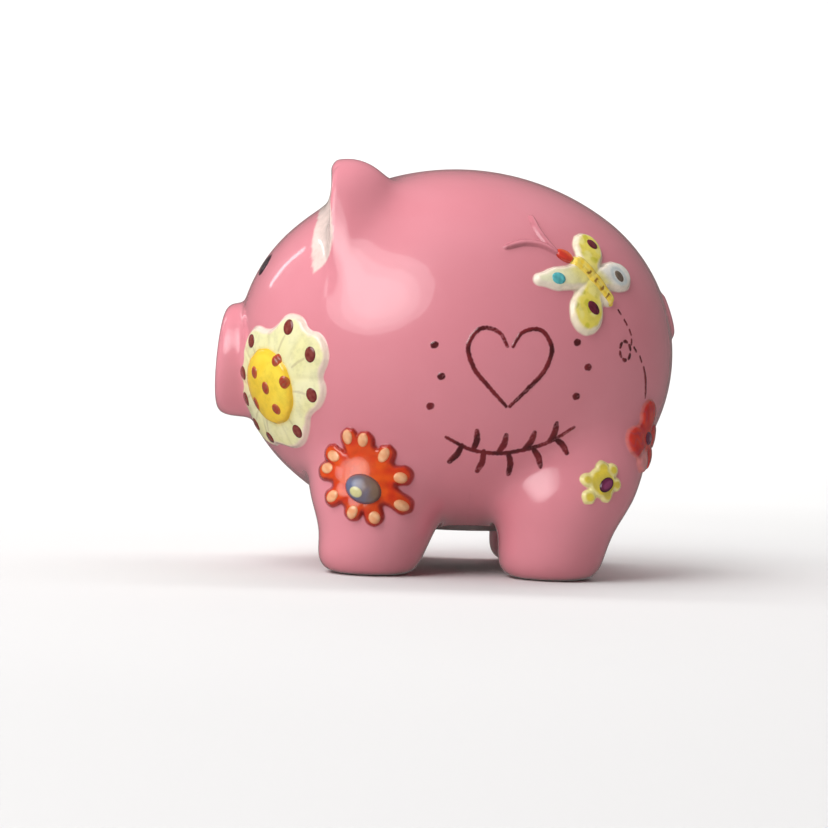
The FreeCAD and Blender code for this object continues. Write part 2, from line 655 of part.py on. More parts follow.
def rosette(name, place, count, ring, petal, core, dome, rise, depth=7.0):
    """count round petals on a ring, around a core disc, with a domed top that
    follows the surface under it. core None leaves the petals separate."""
    b = new_body(name + "_outline", place)
    first = None
    if core:
        sk = new_sketch(b, name + "_core", "XY_Plane")
        circle(sk, "core", 0, 0, size(core), None, None, D + core)
        first = b.newObject("PartDesign::Pad", name + "_core_pad")
        first.Profile = sk
        first.Length = 2 * depth
        first.Midplane = True
    sk = new_sketch(b, name + "_petal", "XY_Plane")
    rv = size(ring) if ring in row else 0
    circle(sk, "petal", 0, rv, size(petal), None, D + ring, D + petal)
    p = b.newObject("PartDesign::Pad", name + "_petal_pad")
    p.Profile = sk
    p.Length = 2 * depth
    p.Midplane = True
    doc.recompute()
    pp = b.newObject("PartDesign::PolarPattern", name + "_petals")
    pp.Originals = [p]
    pp.Axis = (sk, ["N_Axis"])
    pp.Angle = 360
    pp.Occurrences = count
    b.Tip = pp
    doc.recompute()
    dome_r = size(dome)
    s = doc.addObject("Part::Sphere", name + "_dome")
    s.Placement = place.multiply(Plc(V(0, 0, -dome_r), Rot()))
    s.setExpression("Radius", D + dome + " + " + rise)
    doc.recompute()
    return common(name + "_domed", b, s)


P_T = D + "petal_thick"

# cheek flower, left, then its mirror image on the unseen cheek
cheek_at = on_egg(size("cheek_y"), size("cheek_height"), 8.0)
raw = rosette("cheek_petals", cheek_at, 9, "cheek_ring", "cheek_petal", "cheek_core", "front_arc", P_T)
button_at = cheek_at.multiply(Plc(V(-0.6, -0.2, 0.4), Rot()))
socket = lens("cheek_button_socket", button_at, D + "cheek_button + 0.03", D + "cheek_button + 0.03",
              D + "cheek_button_rise + 0.03")
button = lens("cheek_button_lens", button_at, D + "cheek_button", D + "cheek_button", D + "cheek_button_rise")
# the domed middle is set into a socket in the petals
petals = cut_all("cheek_petals_left", raw, [egg, sn_b, socket])
nodes["cheek_petals_left"] = petals
centre = cut_all("cheek_centre_left", button, [egg])
nodes["cheek_centre_left"] = centre
dots = []
front_r = size("front_arc")
for i in range(9):
    a = math.radians(90 + 40 * i)
    ring = 12.6
    q = V(ring * math.cos(a), ring * math.sin(a), 0)
    q.z = -front_r + math.sqrt((front_r + size("petal_thick")) ** 2 - ring * ring) - 0.75
    dots.append(ball("cheek_petal_dot_%d" % (i + 1), D + "glaze_dot", cheek_at.multiply(Plc(q, Rot()))))
for i in range(6):
    a = math.radians(60 * i)
    ring = 5.0 if i else 0.0
    q = V(ring * math.cos(a) - 0.6, ring * math.sin(a) - 0.2, 0)
    q.z = 0.4 + size("cheek_button_rise") * math.sqrt(1 - (ring / size("cheek_button")) ** 2) - 0.75
    dots.append(ball("cheek_centre_dot_%d" % (i + 1), D + "glaze_dot", cheek_at.multiply(Plc(q, Rot()))))
doc.recompute()
cheek_dots = cut_all("cheek_dots_left", group("cheek_dot_group", dots), [petals, centre, egg, sn_b])
nodes["cheek_dots_left"] = cheek_dots
mirrored("cheek_petals_right", petals)
mirrored("cheek_centre_right", centre)
mirrored("cheek_dots_right", cheek_dots)

# orange flower on the side of the left front leg
orange_at = facing(V(size("orange_x"), size("orange_y"), size("orange_height")), V(0.985, -0.17, 0.07), 4.0)
raw = rosette("orange_petals", orange_at, 10, "orange_ring", "orange_petal", "orange_core", "leg_dome", P_T)
op = cut_all("orange_petals", raw, [egg, lfl])
nodes["orange_petals"] = op
bead = lens("orange_bead_lens", orange_at.multiply(Plc(V(-0.7, -2.6, 0.8), Rot(V(0, 0, 1), 28))),
            D + "bead_long", D + "bead_short", D + "bead_rise")
nodes["orange_bead"] = cut_all("orange_bead", bead, [op, lfl, egg])
dots = []
for i in range(10):
    a = math.radians(90 + 36 * i)
    ring = 8.3
    q = V(ring * math.cos(a), ring * math.sin(a), 0)
    dome = size("leg_dome")
    q.z = -dome + math.sqrt((dome + size("petal_thick")) ** 2 - ring * ring) - 0.5
    dots.append(ball("orange_dot_%d" % (i + 1), D + "small_dot", orange_at.multiply(Plc(q, Rot()))))
doc.recompute()
nodes["orange_dots"] = cut_all("orange_dots", group("orange_dot_group", dots), [op, lfl, egg])

# red flower on the rump
red_at = on_egg(size("red_y"), size("red_height"), 15.0)
raw = rosette("red_petals", red_at, 5, "red_ring", "red_petal", "red_core", "rear_arc", P_T)
rp = cut_all("red_petals", raw, [egg, lrl])
nodes["red_petals"] = rp
rc = lens("red_bead_lens", red_at.multiply(Plc(V(0, 0, 1.1), Rot())), D + "red_bead", D + "red_bead * 1.3", D + "red_bead * 0.8")
nodes["red_centre"] = cut_all("red_centre", rc, [rp, egg, lrl])

# yellow flower on the side of the left rear leg
yellow_at = facing(V(size("yellow_x"), size("yellow_y"), size("yellow_height")), V(0.89, 0.45, 0.02), 0.0)
raw = rosette("yellow_petals", yellow_at, 6, "yellow_ring", "yellow_petal", "yellow_core", "leg_dome", P_T + " * 0.8")
yp = cut_all("yellow_petals", raw, [egg, lrl])
nodes["yellow_petals"] = yp
yc = lens("yellow_bead_lens", yellow_at.multiply(Plc(V(0.2, -0.2, 1.2), Rot(V(0, 0, 1), 35))),
          D + "yellow_bead * 1.25", D + "yellow_bead * 0.8", D + "yellow_bead * 0.6")
nodes["yellow_centre"] = cut_all("yellow_centre", yc, [yp, egg])

# butterfly: four wings, a body with its head, two feelers
body_len = lens("fly_body_lens", on_egg(34.1, 69.9, -46.0, -0.6), 7.0, 1.7, D + "wing_rise * 1.15")
head_len = lens("fly_head_lens", on_egg(27.1, 75.6, -35.0, -0.5), 2.4, 1.7, D + "wing_rise * 1.1")
fly_body = cut_all("butterfly_body", group("fly_body_group", [body_len, head_len]), [egg])
wings = []
for tag, y, h, turn, a_, b2 in (("top", 32.6, 77.5, 40.0, 4.3, 3.7), ("left", 23.9, 69.7, -8.0, 6.2, 3.3),
                                ("right", 39.6, 71.6, 60.0, 3.9, 3.4), ("bottom", 32.0, 62.2, 75.0, 5.6, 4.7)):
    wings.append(lens("fly_wing_" + tag, on_egg(y, h, turn), a_, b2, D + "wing_rise"))
fly_wings = cut_all("butterfly_wings", group("fly_wing_group", wings), [egg, fly_body])
nodes["butterfly_wings"] = fly_wings
nodes["butterfly_body"] = fly_body
feelers = [lens("fly_feeler_1", on_egg(18.9, 76.5, -6.0), 5.6, 1.0, D + "feeler_rise"),
           lens("fly_feeler_2", on_egg(21.9, 80.9, -52.0), 4.9, 1.0, D + "feeler_rise")]
nodes["butterfly_feelers"] = cut_all("butterfly_feelers", group("fly_feeler_group", feelers), [egg, fly_body])
dots = []
for i, (y, h) in enumerate(((33.5, 78.7), (25.2, 69.7), (40.0, 71.4), (33.6, 63.4))):
    dots.append(ball("fly_spot_%d" % (i + 1), D + "glaze_dot", on_egg(y, h, 0.0, -(size("wing_rise") - 0.75))))
doc.recompute()
nodes["butterfly_spots"] = cut_all("butterfly_spots", group("fly_spot_group", dots), [fly_wings, fly_body, egg])

# dashed flight trail behind the butterfly
dashes = []
for i, (y, h, turn, half) in enumerate((
        (39.8, 62.7, -60, 1.0), (41.3, 60.5, -62, 1.0), (42.7, 58.2, -75, 1.0), (43.0, 55.9, -100, 1.0),
        (40.4, 55.3, 60, 1.0), (41.5, 52.6, -20, 1.0), (44.1, 54.1, 50, 1.0), (45.7, 51.9, -60, 1.2),
        (46.7, 48.5, -80, 2.0), (47.2, 45.0, -88, 2.4))):
    dashes.append(lens("trail_dash_%d" % (i + 1), on_egg(y, h, turn), half, 0.4, D + "brush_rise"))
nodes["flight_trail"] = cut_all("flight_trail", group("trail_group", dashes), [egg, rp])

# ---------------------------------------------------------------- brushed motif
# a brushed heart over a leafy branch: thin raised lines across the left flank.
# Freehand lines have no straight or round feature, so their faces are made
# here from a curve and the brush width, pushed through the surface along X.
def stroke(points, width):
    pts = [V(0, p[0], p[1]) for p in points]
    c = Part.BSplineCurve()
    c.interpolate(pts)
    n = max(12, 4 * len(pts))
    left, right = [], []
    for i in range(n + 1):
        u = c.FirstParameter + (c.LastParameter - c.FirstParameter) * i / n
        p = c.value(u)
        t = c.tangent(u)[0]
        side = V(0, -t.z, t.y)
        taper = 0.35 + 0.65 * math.sin(math.pi * min(1.0, max(0.0, (i + 1.2) / (n + 2.4)))) ** 0.5
        left.append(p + side * (width / 2 * taper))
        right.append(p - side * (width / 2 * taper))
    a = Part.BSplineCurve()
    a.interpolate(left)
    b = Part.BSplineCurve()
    b.interpolate(right)
    wire = Part.Wire(Part.__sortEdges__([a.toShape(), b.toShape(), Part.makeLine(left[0], right[0]),
                                         Part.makeLine(left[-1], right[-1])]))
    return Part.Face(wire).extrude(V(60, 0, 0))


k = size("motif_scale")
w = size("brush_width")
hy, hz = 14.0, 49.5


def at(pts, oy, oz):
    return [(oy + k * p[0], oz + k * p[1]) for p in pts]


strokes = [
    stroke(at([(-0.3, -7.6), (-3.6, -4.2), (-6.6, -0.6), (-7.5, 3.4), (-5.2, 6.3), (-2.0, 5.6), (-0.5, 3.2)], hy, hz), w),
    stroke(at([(0.5, 3.2), (2.2, 5.8), (5.4, 6.4), (7.6, 3.4), (6.6, -0.6), (3.6, -4.2), (0.3, -7.6)], hy, hz), w),
    stroke(at([(-11.0, -13.5), (-6.5, -15.6), (-1.5, -16.2), (3.5, -15.4), (8.5, -13.6), (12.5, -11.0)], hy, hz), w),
]
for sy, sz, ey, ez in ((-8.0, -14.9, -10.2, -18.0), (-4.0, -15.9, -5.0, -19.6), (0.6, -16.2, 0.8, -20.0),
                       (5.0, -15.0, 6.6, -18.4), (9.2, -13.2, 11.4, -15.8), (-6.0, -15.7, -5.4, -12.2),
                       (-1.4, -16.2, 0.0, -12.8), (3.4, -15.4, 5.2, -12.2), (8.0, -13.8, 9.2, -10.4)):
    strokes.append(stroke(at([(sy, sz), ((sy + ey) / 2 + 0.35, (sz + ez) / 2), (ey, ez)], hy, hz), w * 1.25))
for sy, sz in ((-13.6, 3.0), (-12.2, -2.6), (-14.0, -8.0), (13.0, 5.6), (14.6, 0.0), (12.6, -5.4)):
    c0 = Part.makeCylinder(w * 0.62, 60, V(0, hy + k * sy, hz + k * sz), V(1, 0, 0))
    strokes.append(c0)
brush_layer = egg_solid("brush_layer", (size("brush_rise"), " + " + D + "brush_rise"))
doc.recompute()
layer = brush_layer.Shape.cut(egg.Shape)
pieces = []
for st in strokes:
    c0 = st.common(layer).cut(lrl.Shape).cut(lfl.Shape)
    pieces.extend([q for q in c0.Solids if q.Volume > 0.01])
motif = doc.addObject("Part::Feature", "brush_motif")
motif.Label = "brush_motif"
fused = pieces[0].multiFuse(pieces[1:])
motif.Shape = fused
motif.Placement = Plc(V(0, 0, 0), Rot())
nodes["brush_motif"] = motif
doc.recompute()

# ---------------------------------------------------------------- report and write
def finish():
    bad = []
    for o in doc.Objects:
        st = list(getattr(o, "State", []))
        if "Invalid" in st or "Error" in st:
            bad.append("%s %s" % (o.Name, st))
    for name, o in nodes.items():
        s = o.Shape
        if s.isNull() or not s.isValid() or not s.Solids:
            bad.append("%s shape" % name)
    if bad:
        raise RuntimeError("not written: " + "; ".join(bad))
    os.makedirs("parts", exist_ok=True)
    for name, o in nodes.items():
        o.Shape.exportStep("parts/%s.step" % name)
        bb = o.Shape.BoundBox
        print("%-24s solids %2d vol %9.1f  x %.2f %.2f  y %.2f %.2f  z %.2f %.2f" % (
            name, len(o.Shape.Solids), o.Shape.Volume, bb.XMin, bb.XMax, bb.YMin, bb.YMax, bb.ZMin, bb.ZMax))


finish()
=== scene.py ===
import math

import bpy
import numpy as np
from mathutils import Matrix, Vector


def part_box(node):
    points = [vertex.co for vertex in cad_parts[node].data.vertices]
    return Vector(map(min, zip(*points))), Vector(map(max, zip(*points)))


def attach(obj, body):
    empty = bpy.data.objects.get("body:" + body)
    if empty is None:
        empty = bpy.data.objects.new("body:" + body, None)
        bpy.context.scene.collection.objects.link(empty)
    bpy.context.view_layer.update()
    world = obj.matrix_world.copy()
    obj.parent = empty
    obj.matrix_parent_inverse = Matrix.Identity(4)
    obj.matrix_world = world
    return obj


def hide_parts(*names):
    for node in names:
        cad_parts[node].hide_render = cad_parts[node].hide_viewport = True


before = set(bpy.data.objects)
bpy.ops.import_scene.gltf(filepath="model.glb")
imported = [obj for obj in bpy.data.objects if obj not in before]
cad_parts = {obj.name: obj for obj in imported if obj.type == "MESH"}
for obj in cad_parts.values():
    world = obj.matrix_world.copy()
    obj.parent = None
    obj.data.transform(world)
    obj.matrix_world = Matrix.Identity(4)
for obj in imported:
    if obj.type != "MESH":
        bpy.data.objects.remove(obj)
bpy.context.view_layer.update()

import openvdb
from mathutils import Matrix, Vector

# ---------------------------------------------------------------- shape, in millimetres
AX, EQ, RS, RF, RB, RM, WALL = 53.2, 3.0, 62.0, 39.5, 41.5, 45.2, 4.5
KK = RS - RM
CF = EQ - math.sqrt((RS - RF) ** 2 - KK * KK)
CB = EQ + math.sqrt((RS - RB) ** 2 - KK * KK)
AF, AB = math.atan2(KK, CF - EQ), math.atan2(KK, CB - EQ)


def smin(a, b, k):
    h = np.maximum(k - np.abs(a - b), 0.0) / k
    return np.minimum(a, b) - h * h * h * (k / 6.0)


def smax(a, b, k):
    h = np.maximum(k - np.abs(a - b), 0.0) / k
    return np.maximum(a, b) + h * h * h * (k / 6.0)


def step(lo, hi, x):
    t = np.clip((x - lo) / (hi - lo), 0.0, 1.0)
    return t * t * (3.0 - 2.0 * t)


def table(xs, rows, n=240):
    """Smooth curve through each row of values, as a dense table for np.interp."""
    xs = np.array(xs, float)
    t = np.linspace(xs[0], xs[-1], n)
    out = []
    for ys in rows:
        ys = np.array(ys, float)
        m = np.gradient(ys, xs)
        i = np.clip(np.searchsorted(xs, t) - 1, 0, len(xs) - 2)
        h = xs[i + 1] - xs[i]
        s = (t - xs[i]) / h
        out.append((2 * s**3 - 3 * s**2 + 1) * ys[i] + (s**3 - 2 * s**2 + s) * h * m[i]
                   + (-2 * s**3 + 3 * s**2) * ys[i + 1] + (s**3 - s**2) * h * m[i + 1])
    return t, out


def egg(p):
    """Distance to the egg: three tangent arcs turned about its level axis."""
    x, y, z = p[..., 0], p[..., 1], p[..., 2] - AX
    q = np.hypot(x, z)
    a = np.arctan2(q + KK, y - EQ)
    return np.where(a > AF, np.hypot(y - CF, q) - RF,
                    np.where(a < AB, np.hypot(y - CB, q) - RB, np.hypot(y - EQ, q + KK) - RS))


LEG_F = table([-1, 2.6, 10, 20, 32, 44, 52], [[0, 0, -0.6, -3.9, -7.2, -12.0, -15], [0, 0, 1.3, 1.6, 2.6, 3.0, 3.0],
                                            [10.9, 11.9, 13.6, 16.4, 15.6, 12.0, 9.0]])
LEG_R = table([-1, 2.6, 10, 20, 32, 44, 54], [[0, 0, -0.6, -3.9, -8.8, -12.5, -16], [0, 0, 1.0, 3.0, 5.6, 3.4, 2.0],
                                            [10.9, 11.9, 13.4, 17.0, 17.2, 16.5, 12.0]])


def leg(p, oy, tab):
    t, (cx, cy, r) = tab
    z = p[..., 2]
    d = np.hypot(np.abs(p[..., 0]) - 25.0 - np.interp(z, t, cx), p[..., 1] - oy - np.interp(z, t, cy)) - np.interp(z, t, r)
    d = np.maximum(d, z - 50.0)
    return smax(d * 0.95, -z, 6.6)


def leg_front(p):
    return leg(p, -16.5, LEG_F)


def leg_rear(p):
    return leg(p, 25.8, LEG_R)


EAR_A = math.radians(37.35)
EAR_XA = np.array([math.cos(EAR_A), 0.0, -math.sin(EAR_A)])
EAR_ZA = np.array([math.sin(EAR_A), 0.0, math.cos(EAR_A)])
EAR_AT = np.array([20.3, -21.0, 80.9])
EAR = table([-12, -3, 3, 10.2, 16.0, 20.0], [[0.2, -0.2, -0.5, -2.7, -5.0, -6.0], [-6.6, -6.6, -6.5, -6.2, -5.6, -5.4],
                                            [12.0, 14.8, 13.9, 10.4, 7.6, 6.5], [15.0, 14.5, 13.2, 12.0, 11.0, 10.5]])


def ear_local(p):
    q = np.stack([np.abs(p[..., 0]), p[..., 1], p[..., 2]], -1) - EAR_AT
    return q @ EAR_XA, q[..., 1], q @ EAR_ZA


def ear(p):
    x, y, z = ear_local(p)
    t, (cx, cy, rx, ry) = EAR
    cx, cy, rx, ry = (np.interp(z, t, c) for c in (cx, cy, rx, ry))
    ry = np.where(y > cy, ry, 3.4)
    e = np.hypot((x - cx) / rx, (y - cy) / ry)
    g = np.hypot((x - cx) / rx**2, (y - cy) / ry**2) / np.maximum(e, 1e-3)
    d = (e - 1.0) / np.maximum(g, 1.0 / 18.0) * 0.82
    cap = (z - 15.0 + 0.034 * (y + 3.0) ** 2 + 0.03 * (x - cx) ** 2) * 0.75
    d = smax(np.maximum(d, -12.0 - z), cap, 6.0)
    d = smax(d, (-7.9 + 0.13 * np.maximum(88.0 - p[..., 2], 0.0) - y) * 0.98, 1.8)
    dish = 14.0 - np.sqrt((x + 1.5) ** 2 + (y + 19.4) ** 2 + (z - 5.5) ** 2)
    return smax(d, dish, 2.0)


def ear_fillet(p):
    """Size of the fillet at an ear's root: smaller over the top, clear of the slot."""
    return 5.0 + 7.0 * step(3.0, 14.0, np.abs(p[..., 0])) * step(-31.0, -23.0, p[..., 1])


SN_T = math.radians(4.0)
SN_AT = np.array([0.0, -55.65, 50.2])
SN_N = np.array([0.0, -math.cos(SN_T), math.sin(SN_T)])
SN_V = np.array([0.0, math.sin(SN_T), math.cos(SN_T)])


def snout(p):
    q = p - SN_AT
    u, v, w = q[..., 0], q @ SN_V, q @ SN_N
    r = np.hypot(u, v * 0.985)
    d = smax(r - 13.9, w + 0.03 * (r / 13.9) ** 2, 6.4)
    d = np.maximum(d, -14.0 - w)
    hole = np.hypot(np.abs(u) - 4.9, np.maximum(np.abs(v) - 2.2, 0.0)) - 1.5
    bowl = smax(hole, -w - 2.2, 1.2)
    return smax(d, -bowl, 0.9)


TAIL_AT = np.array([0.0, CB + math.sqrt(RB**2 - 12.3**2) - 1.3, 65.5])
TAIL_T = math.asin(12.3 / RB)
TAIL_U = np.array([1.0, 0.0, 0.0])
TAIL_N = np.array([0.0, math.cos(TAIL_T), math.sin(TAIL_T)])
TAIL_V = np.cross(TAIL_N, TAIL_U)


def tail_path():
    a = np.radians(np.linspace(-18, 180, 30))
    b = np.radians(np.linspace(180, 395, 34))[1:]
    u = np.concatenate([6.0 * np.cos(a), -2.1 + 3.9 * np.cos(b)])
    v = np.concatenate([6.0 * np.sin(a), 3.9 * np.sin(b)])
    s = np.linspace(0, 1, len(u))
    w = -0.95 + 0.9 * np.sin(math.pi * np.clip(s * 1.25, 0, 1)) - 0.4 * s
    r = 2.3 - 0.15 * s - 1.0 * step(0.55, 1.0, s)
    return TAIL_AT + np.outer(u, TAIL_U) + np.outer(v, TAIL_V) + np.outer(w, TAIL_N), r


TAIL_P, TAIL_R = tail_path()


def rope(p, pts, rad, far=9.0):
    """Distance to a round bar of changing radius along a line."""
    shape = p.shape[:-1]
    p = p.reshape(-1, 3)
    out = np.full(len(p), far)
    near = np.linalg.norm(p - pts.mean(0), axis=1) < np.linalg.norm(pts - pts.mean(0), axis=1).max() + far
    q = p[near]
    if len(q):
        best = np.full(len(q), far)
        for a, b, ra, rb in zip(pts[:-1], pts[1:], rad[:-1], rad[1:]):
            d = b - a
            t = np.clip((q - a) @ d / (d @ d), 0, 1)
            best = np.minimum(best, np.linalg.norm(q - a - t[:, None] * d, axis=1) - (ra + (rb - ra) * t))
        out[near] = best
    return out.reshape(shape)


def tail(p):
    return rope(p, TAIL_P, TAIL_R)


def skin(p):
    """Distance to the pig's whole outside, with every luted piece blended in."""
    d = smin(egg(p), leg_front(p), 8.0)
    d = smin(d, leg_rear(p), 8.0)
    d = smin(d, ear(p), ear_fillet(p))
    d = smin(d, snout(p), 2.6)
    return smin(d, tail(p), 1.0)


def slope(f, p, h=0.01):
    g = []
    for k in range(3):
        d = np.zeros(3)
        d[k] = h
        g.append((f(p + d) - f(p - d)) / (2 * h))
    return np.stack(g, -1)


def flank(y, z):
    """Point on the left flank of the skin and the way out of it there."""
    a, b = 0.0, 70.0
    for _ in range(50):
        m = (a + b) / 2
        if skin(np.array([[m, y, z]]))[0] < 0:
            a = m
        else:
            b = m
    p = np.array([a, y, z])
    n = slope(skin, p[None])[0]
    return p, n / np.linalg.norm(n)


def facing(n):
    """Across, up and out, for a piece that faces along n."""
    n = np.array(n, float)
    n /= np.linalg.norm(n)
    x = np.cross([0.0, 0.0, 1.0], n)
    x /= np.linalg.norm(x)
    return x, np.cross(n, x), n


# ---------------------------------------------------------------- meshes
rng = np.random.default_rng(7)


def mesh(name, pts, quads, material, body, nodes, slot, paint=None, cover=None, depth=None, mirror=False):
    """A smooth closed mesh from points in millimetres; riding, standing for CAD nodes, with its finish."""
    pts = np.asarray(pts, float)
    quads = np.asarray(quads, np.int64)
    if mirror:
        pts = pts * np.array([-1.0, 1.0, 1.0])
        quads = quads[:, ::-1]
    me = bpy.data.meshes.new(name)
    me.vertices.add(len(pts))
    me.vertices.foreach_set("co", (pts * 0.001).astype(np.float32).ravel())
    me.loops.add(quads.size)
    me.loops.foreach_set("vertex_index", quads.ravel().astype(np.int32))
    me.polygons.add(len(quads))
    me.polygons.foreach_set("loop_start", np.arange(0, quads.size, quads.shape[1], dtype=np.int32))
    me.update(calc_edges=True)
    me.validate()
    me.polygons.foreach_set("use_smooth", np.ones(len(me.polygons), bool))
    if paint is not None:
        a = me.attributes.new("paint", "FLOAT_COLOR", "POINT")
        rgba = np.ones((len(pts), 4), np.float32)
        rgba[:, :3] = paint
        a.data.foreach_set("color", rgba.ravel())
    for key, val in (("cover", cover), ("depth", depth)):
        if val is not None:
            a = me.attributes.new(key, "FLOAT", "POINT")
            a.data.foreach_set("value", np.asarray(val, np.float32))
    me.materials.append(material)
    ob = bpy.data.objects.new(name, me)
    bpy.context.scene.collection.objects.link(ob)
    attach(ob, body)
    if nodes:
        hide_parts(*nodes)
    return ob


def outward(pts, quads):
    """The quads turned so that the mesh's inside is its inside."""
    a, b, c, d = (pts[quads[:, i]] for i in range(4))
    vol = (np.einsum("ij,ij->i", a, np.cross(b, c)) + np.einsum("ij,ij->i", a, np.cross(c, d))).sum()
    return quads[:, ::-1] if vol < 0 else quads


def iso(f, lo, hi, h):
    """Closed quad mesh of f = 0 inside a box, its points pulled exactly onto f = 0."""
    lo, hi = np.array(lo, float), np.array(hi, float)
    n = np.ceil((hi - lo) / h).astype(int) + 1
    ax = [lo[k] + h * np.arange(n[k]) for k in range(3)]
    vals = np.empty(n, np.float32)
    for i in range(0, n[0], 24):
        g = np.stack(np.meshgrid(ax[0][i:i + 24], ax[1], ax[2], indexing="ij"), -1)
        vals[i:i + 24] = f(g)
    vals = np.clip(vals, -3 * h, 3 * h)
    grid = openvdb.FloatGrid(3 * h)
    grid.copyFromArray(vals)
    pts, quads = grid.convertToQuads(0.0)
    pts = lo + np.asarray(pts, float) * h
    quads = np.asarray(quads, np.int64)
    for _ in range(3):
        g = slope(f, pts)
        move = f(pts)[:, None] * g / np.maximum((g * g).sum(1), 0.2)[:, None]
        size = np.linalg.norm(move, axis=1, keepdims=True)
        pts = pts - move * np.minimum(1.0, 0.35 * h / np.maximum(size, 1e-9))
    return pts, outward(pts, quads)


def settle(p, n, want, near=None):
    """Slides points along n until the skin is want away."""
    w = np.zeros(p.shape[:-1])
    d = skin(p) - want
    g = np.ones_like(w) * 0.85
    for _ in range(11):
        move = np.clip(-d / g, -6.0, 6.0)
        w2 = w + move
        d2 = skin(p + w2[..., None] * n) - want
        g = np.clip(np.where(np.abs(move) > 1e-7, (d2 - d) / np.where(np.abs(move) > 1e-7, move, 1.0), g), 0.25, 1.2)
        w, d = w2, d2
    return p + w[..., None] * n, np.abs(d)


def circ(u, v, cx, cy, r):
    return np.hypot(u - cx, v - cy) - r


def oval(u, v, cx, cy, a, b, deg=0.0):
    t = math.radians(deg)
    x, y = (u - cx) * math.cos(t) + (v - cy) * math.sin(t), -(u - cx) * math.sin(t) + (v - cy) * math.cos(t)
    k = np.hypot(x / a, y / b)
    g = np.hypot(x / a**2, y / b**2) / np.maximum(k, 1e-6)
    return (k - 1.0) / np.maximum(g, 1.0 / max(a, b))


def bar(u, v, x0, y0, x1, y1, r0, r1):
    dx, dy = x1 - x0, y1 - y0
    t = np.clip(((u - x0) * dx + (v - y0) * dy) / (dx * dx + dy * dy), 0, 1)
    return np.hypot(u - x0 - t * dx, v - y0 - t * dy) - (r0 + (r1 - r0) * t)


def curve(points, n=9):
    """Points along a smooth line through the given ones."""
    q = np.array(points, float)
    s = np.concatenate([[0], np.cumsum(np.linalg.norm(np.diff(q, axis=0), axis=1))])
    _, cols = table(s, q.T, n * (len(q) - 1) + 1)
    return np.stack(cols, 1)


def ring(points, n=4):
    """Points round a smooth closed line through the given ones."""
    q = np.array(points, float)
    k = len(q)
    return curve(np.concatenate([q[-3:], q, q[:4]]), n)[3 * n:(3 + k) * n]


def outline(u, v, pts):
    """Distance to a closed line, negative inside it."""
    best, inside = np.full(u.shape, 1e9), np.zeros(u.shape, bool)
    for (x0, y0), (x1, y1) in zip(pts, np.roll(pts, -1, axis=0)):
        dx, dy = x1 - x0, y1 - y0
        t = np.clip(((u - x0) * dx + (v - y0) * dy) / max(dx * dx + dy * dy, 1e-12), 0, 1)
        best = np.minimum(best, (u - x0 - t * dx) ** 2 + (v - y0 - t * dy) ** 2)
        inside ^= ((y0 > v) != (y1 > v)) & (u < x0 + (v - y0) * dx / (dy if dy else 1e-12))
    return np.sqrt(best) * np.where(inside, -1.0, 1.0)


def brush(u, v, pts, width, tail=0.35):
    """Distance to a brushed line that swells and thins, and where along it each point is."""
    n = len(pts) - 1
    best, along = np.full(u.shape, 99.0), np.zeros(u.shape)
    for i in range(n):
        a0, a1 = i / n, (i + 1) / n
        w0, w1 = (width / 2 * (tail + (1 - tail) * math.sin(math.pi * min(1.0, (a + 0.06) / 1.12)) ** 0.5) for a in (a0, a1))
        x0, y0, x1, y1 = *pts[i], *pts[i + 1]
        dx, dy = x1 - x0, y1 - y0
        t = np.clip(((u - x0) * dx + (v - y0) * dy) / max(dx * dx + dy * dy, 1e-9), 0, 1)
        d = np.hypot(u - x0 - t * dx, v - y0 - t * dy) - (w0 + (w1 - w0) * t)
        along = np.where(d < best, a0 + t / n, along)
        best = np.minimum(best, d)
    return best, along


def pillow(d, w):
    """0 at an edge, rising round to 1 at w inside it."""
    t = np.clip(-d / w, 0.0, 1.0)
    return np.sqrt(np.maximum(1.0 - (1.0 - t) ** 2, 0.0))


def bank(d, rise=0.2, reach=1.1):
    """The little bank of glaze against the foot of a sprig, and just under the skin beyond it."""
    return rise * np.maximum(0.0, 1.0 - np.maximum(d, 0.0) / reach) ** 2 - 0.045


def wave(u, v, seed, size=4.0, n=7):
    """Slow unevenness left by fingers and brush, about -1 to 1."""
    r = np.random.default_rng(seed)
    out = np.zeros(np.shape(u))
    for _ in range(n):
        a, k, ph = r.uniform(0, 2 * math.pi), r.uniform(0.6, 1.7) / size, r.uniform(0, 2 * math.pi)
        out += np.sin((u * math.cos(a) + v * math.sin(a)) * k * 2 * math.pi + ph)
    return out / n**0.5 / 1.2


def tint(*parts):
    """Colours laid over each other: (colour, amount) pairs, the first one full."""
    base = np.array(parts[0], float)
    out = None
    for col, amount in parts[1:]:
        amount = np.clip(amount, 0, 1)[..., None]
        if out is None:
            out = np.broadcast_to(base, amount.shape[:-1] + (3,)).copy()
        out = out * (1 - amount) + np.asarray(col, float) * amount
    return out


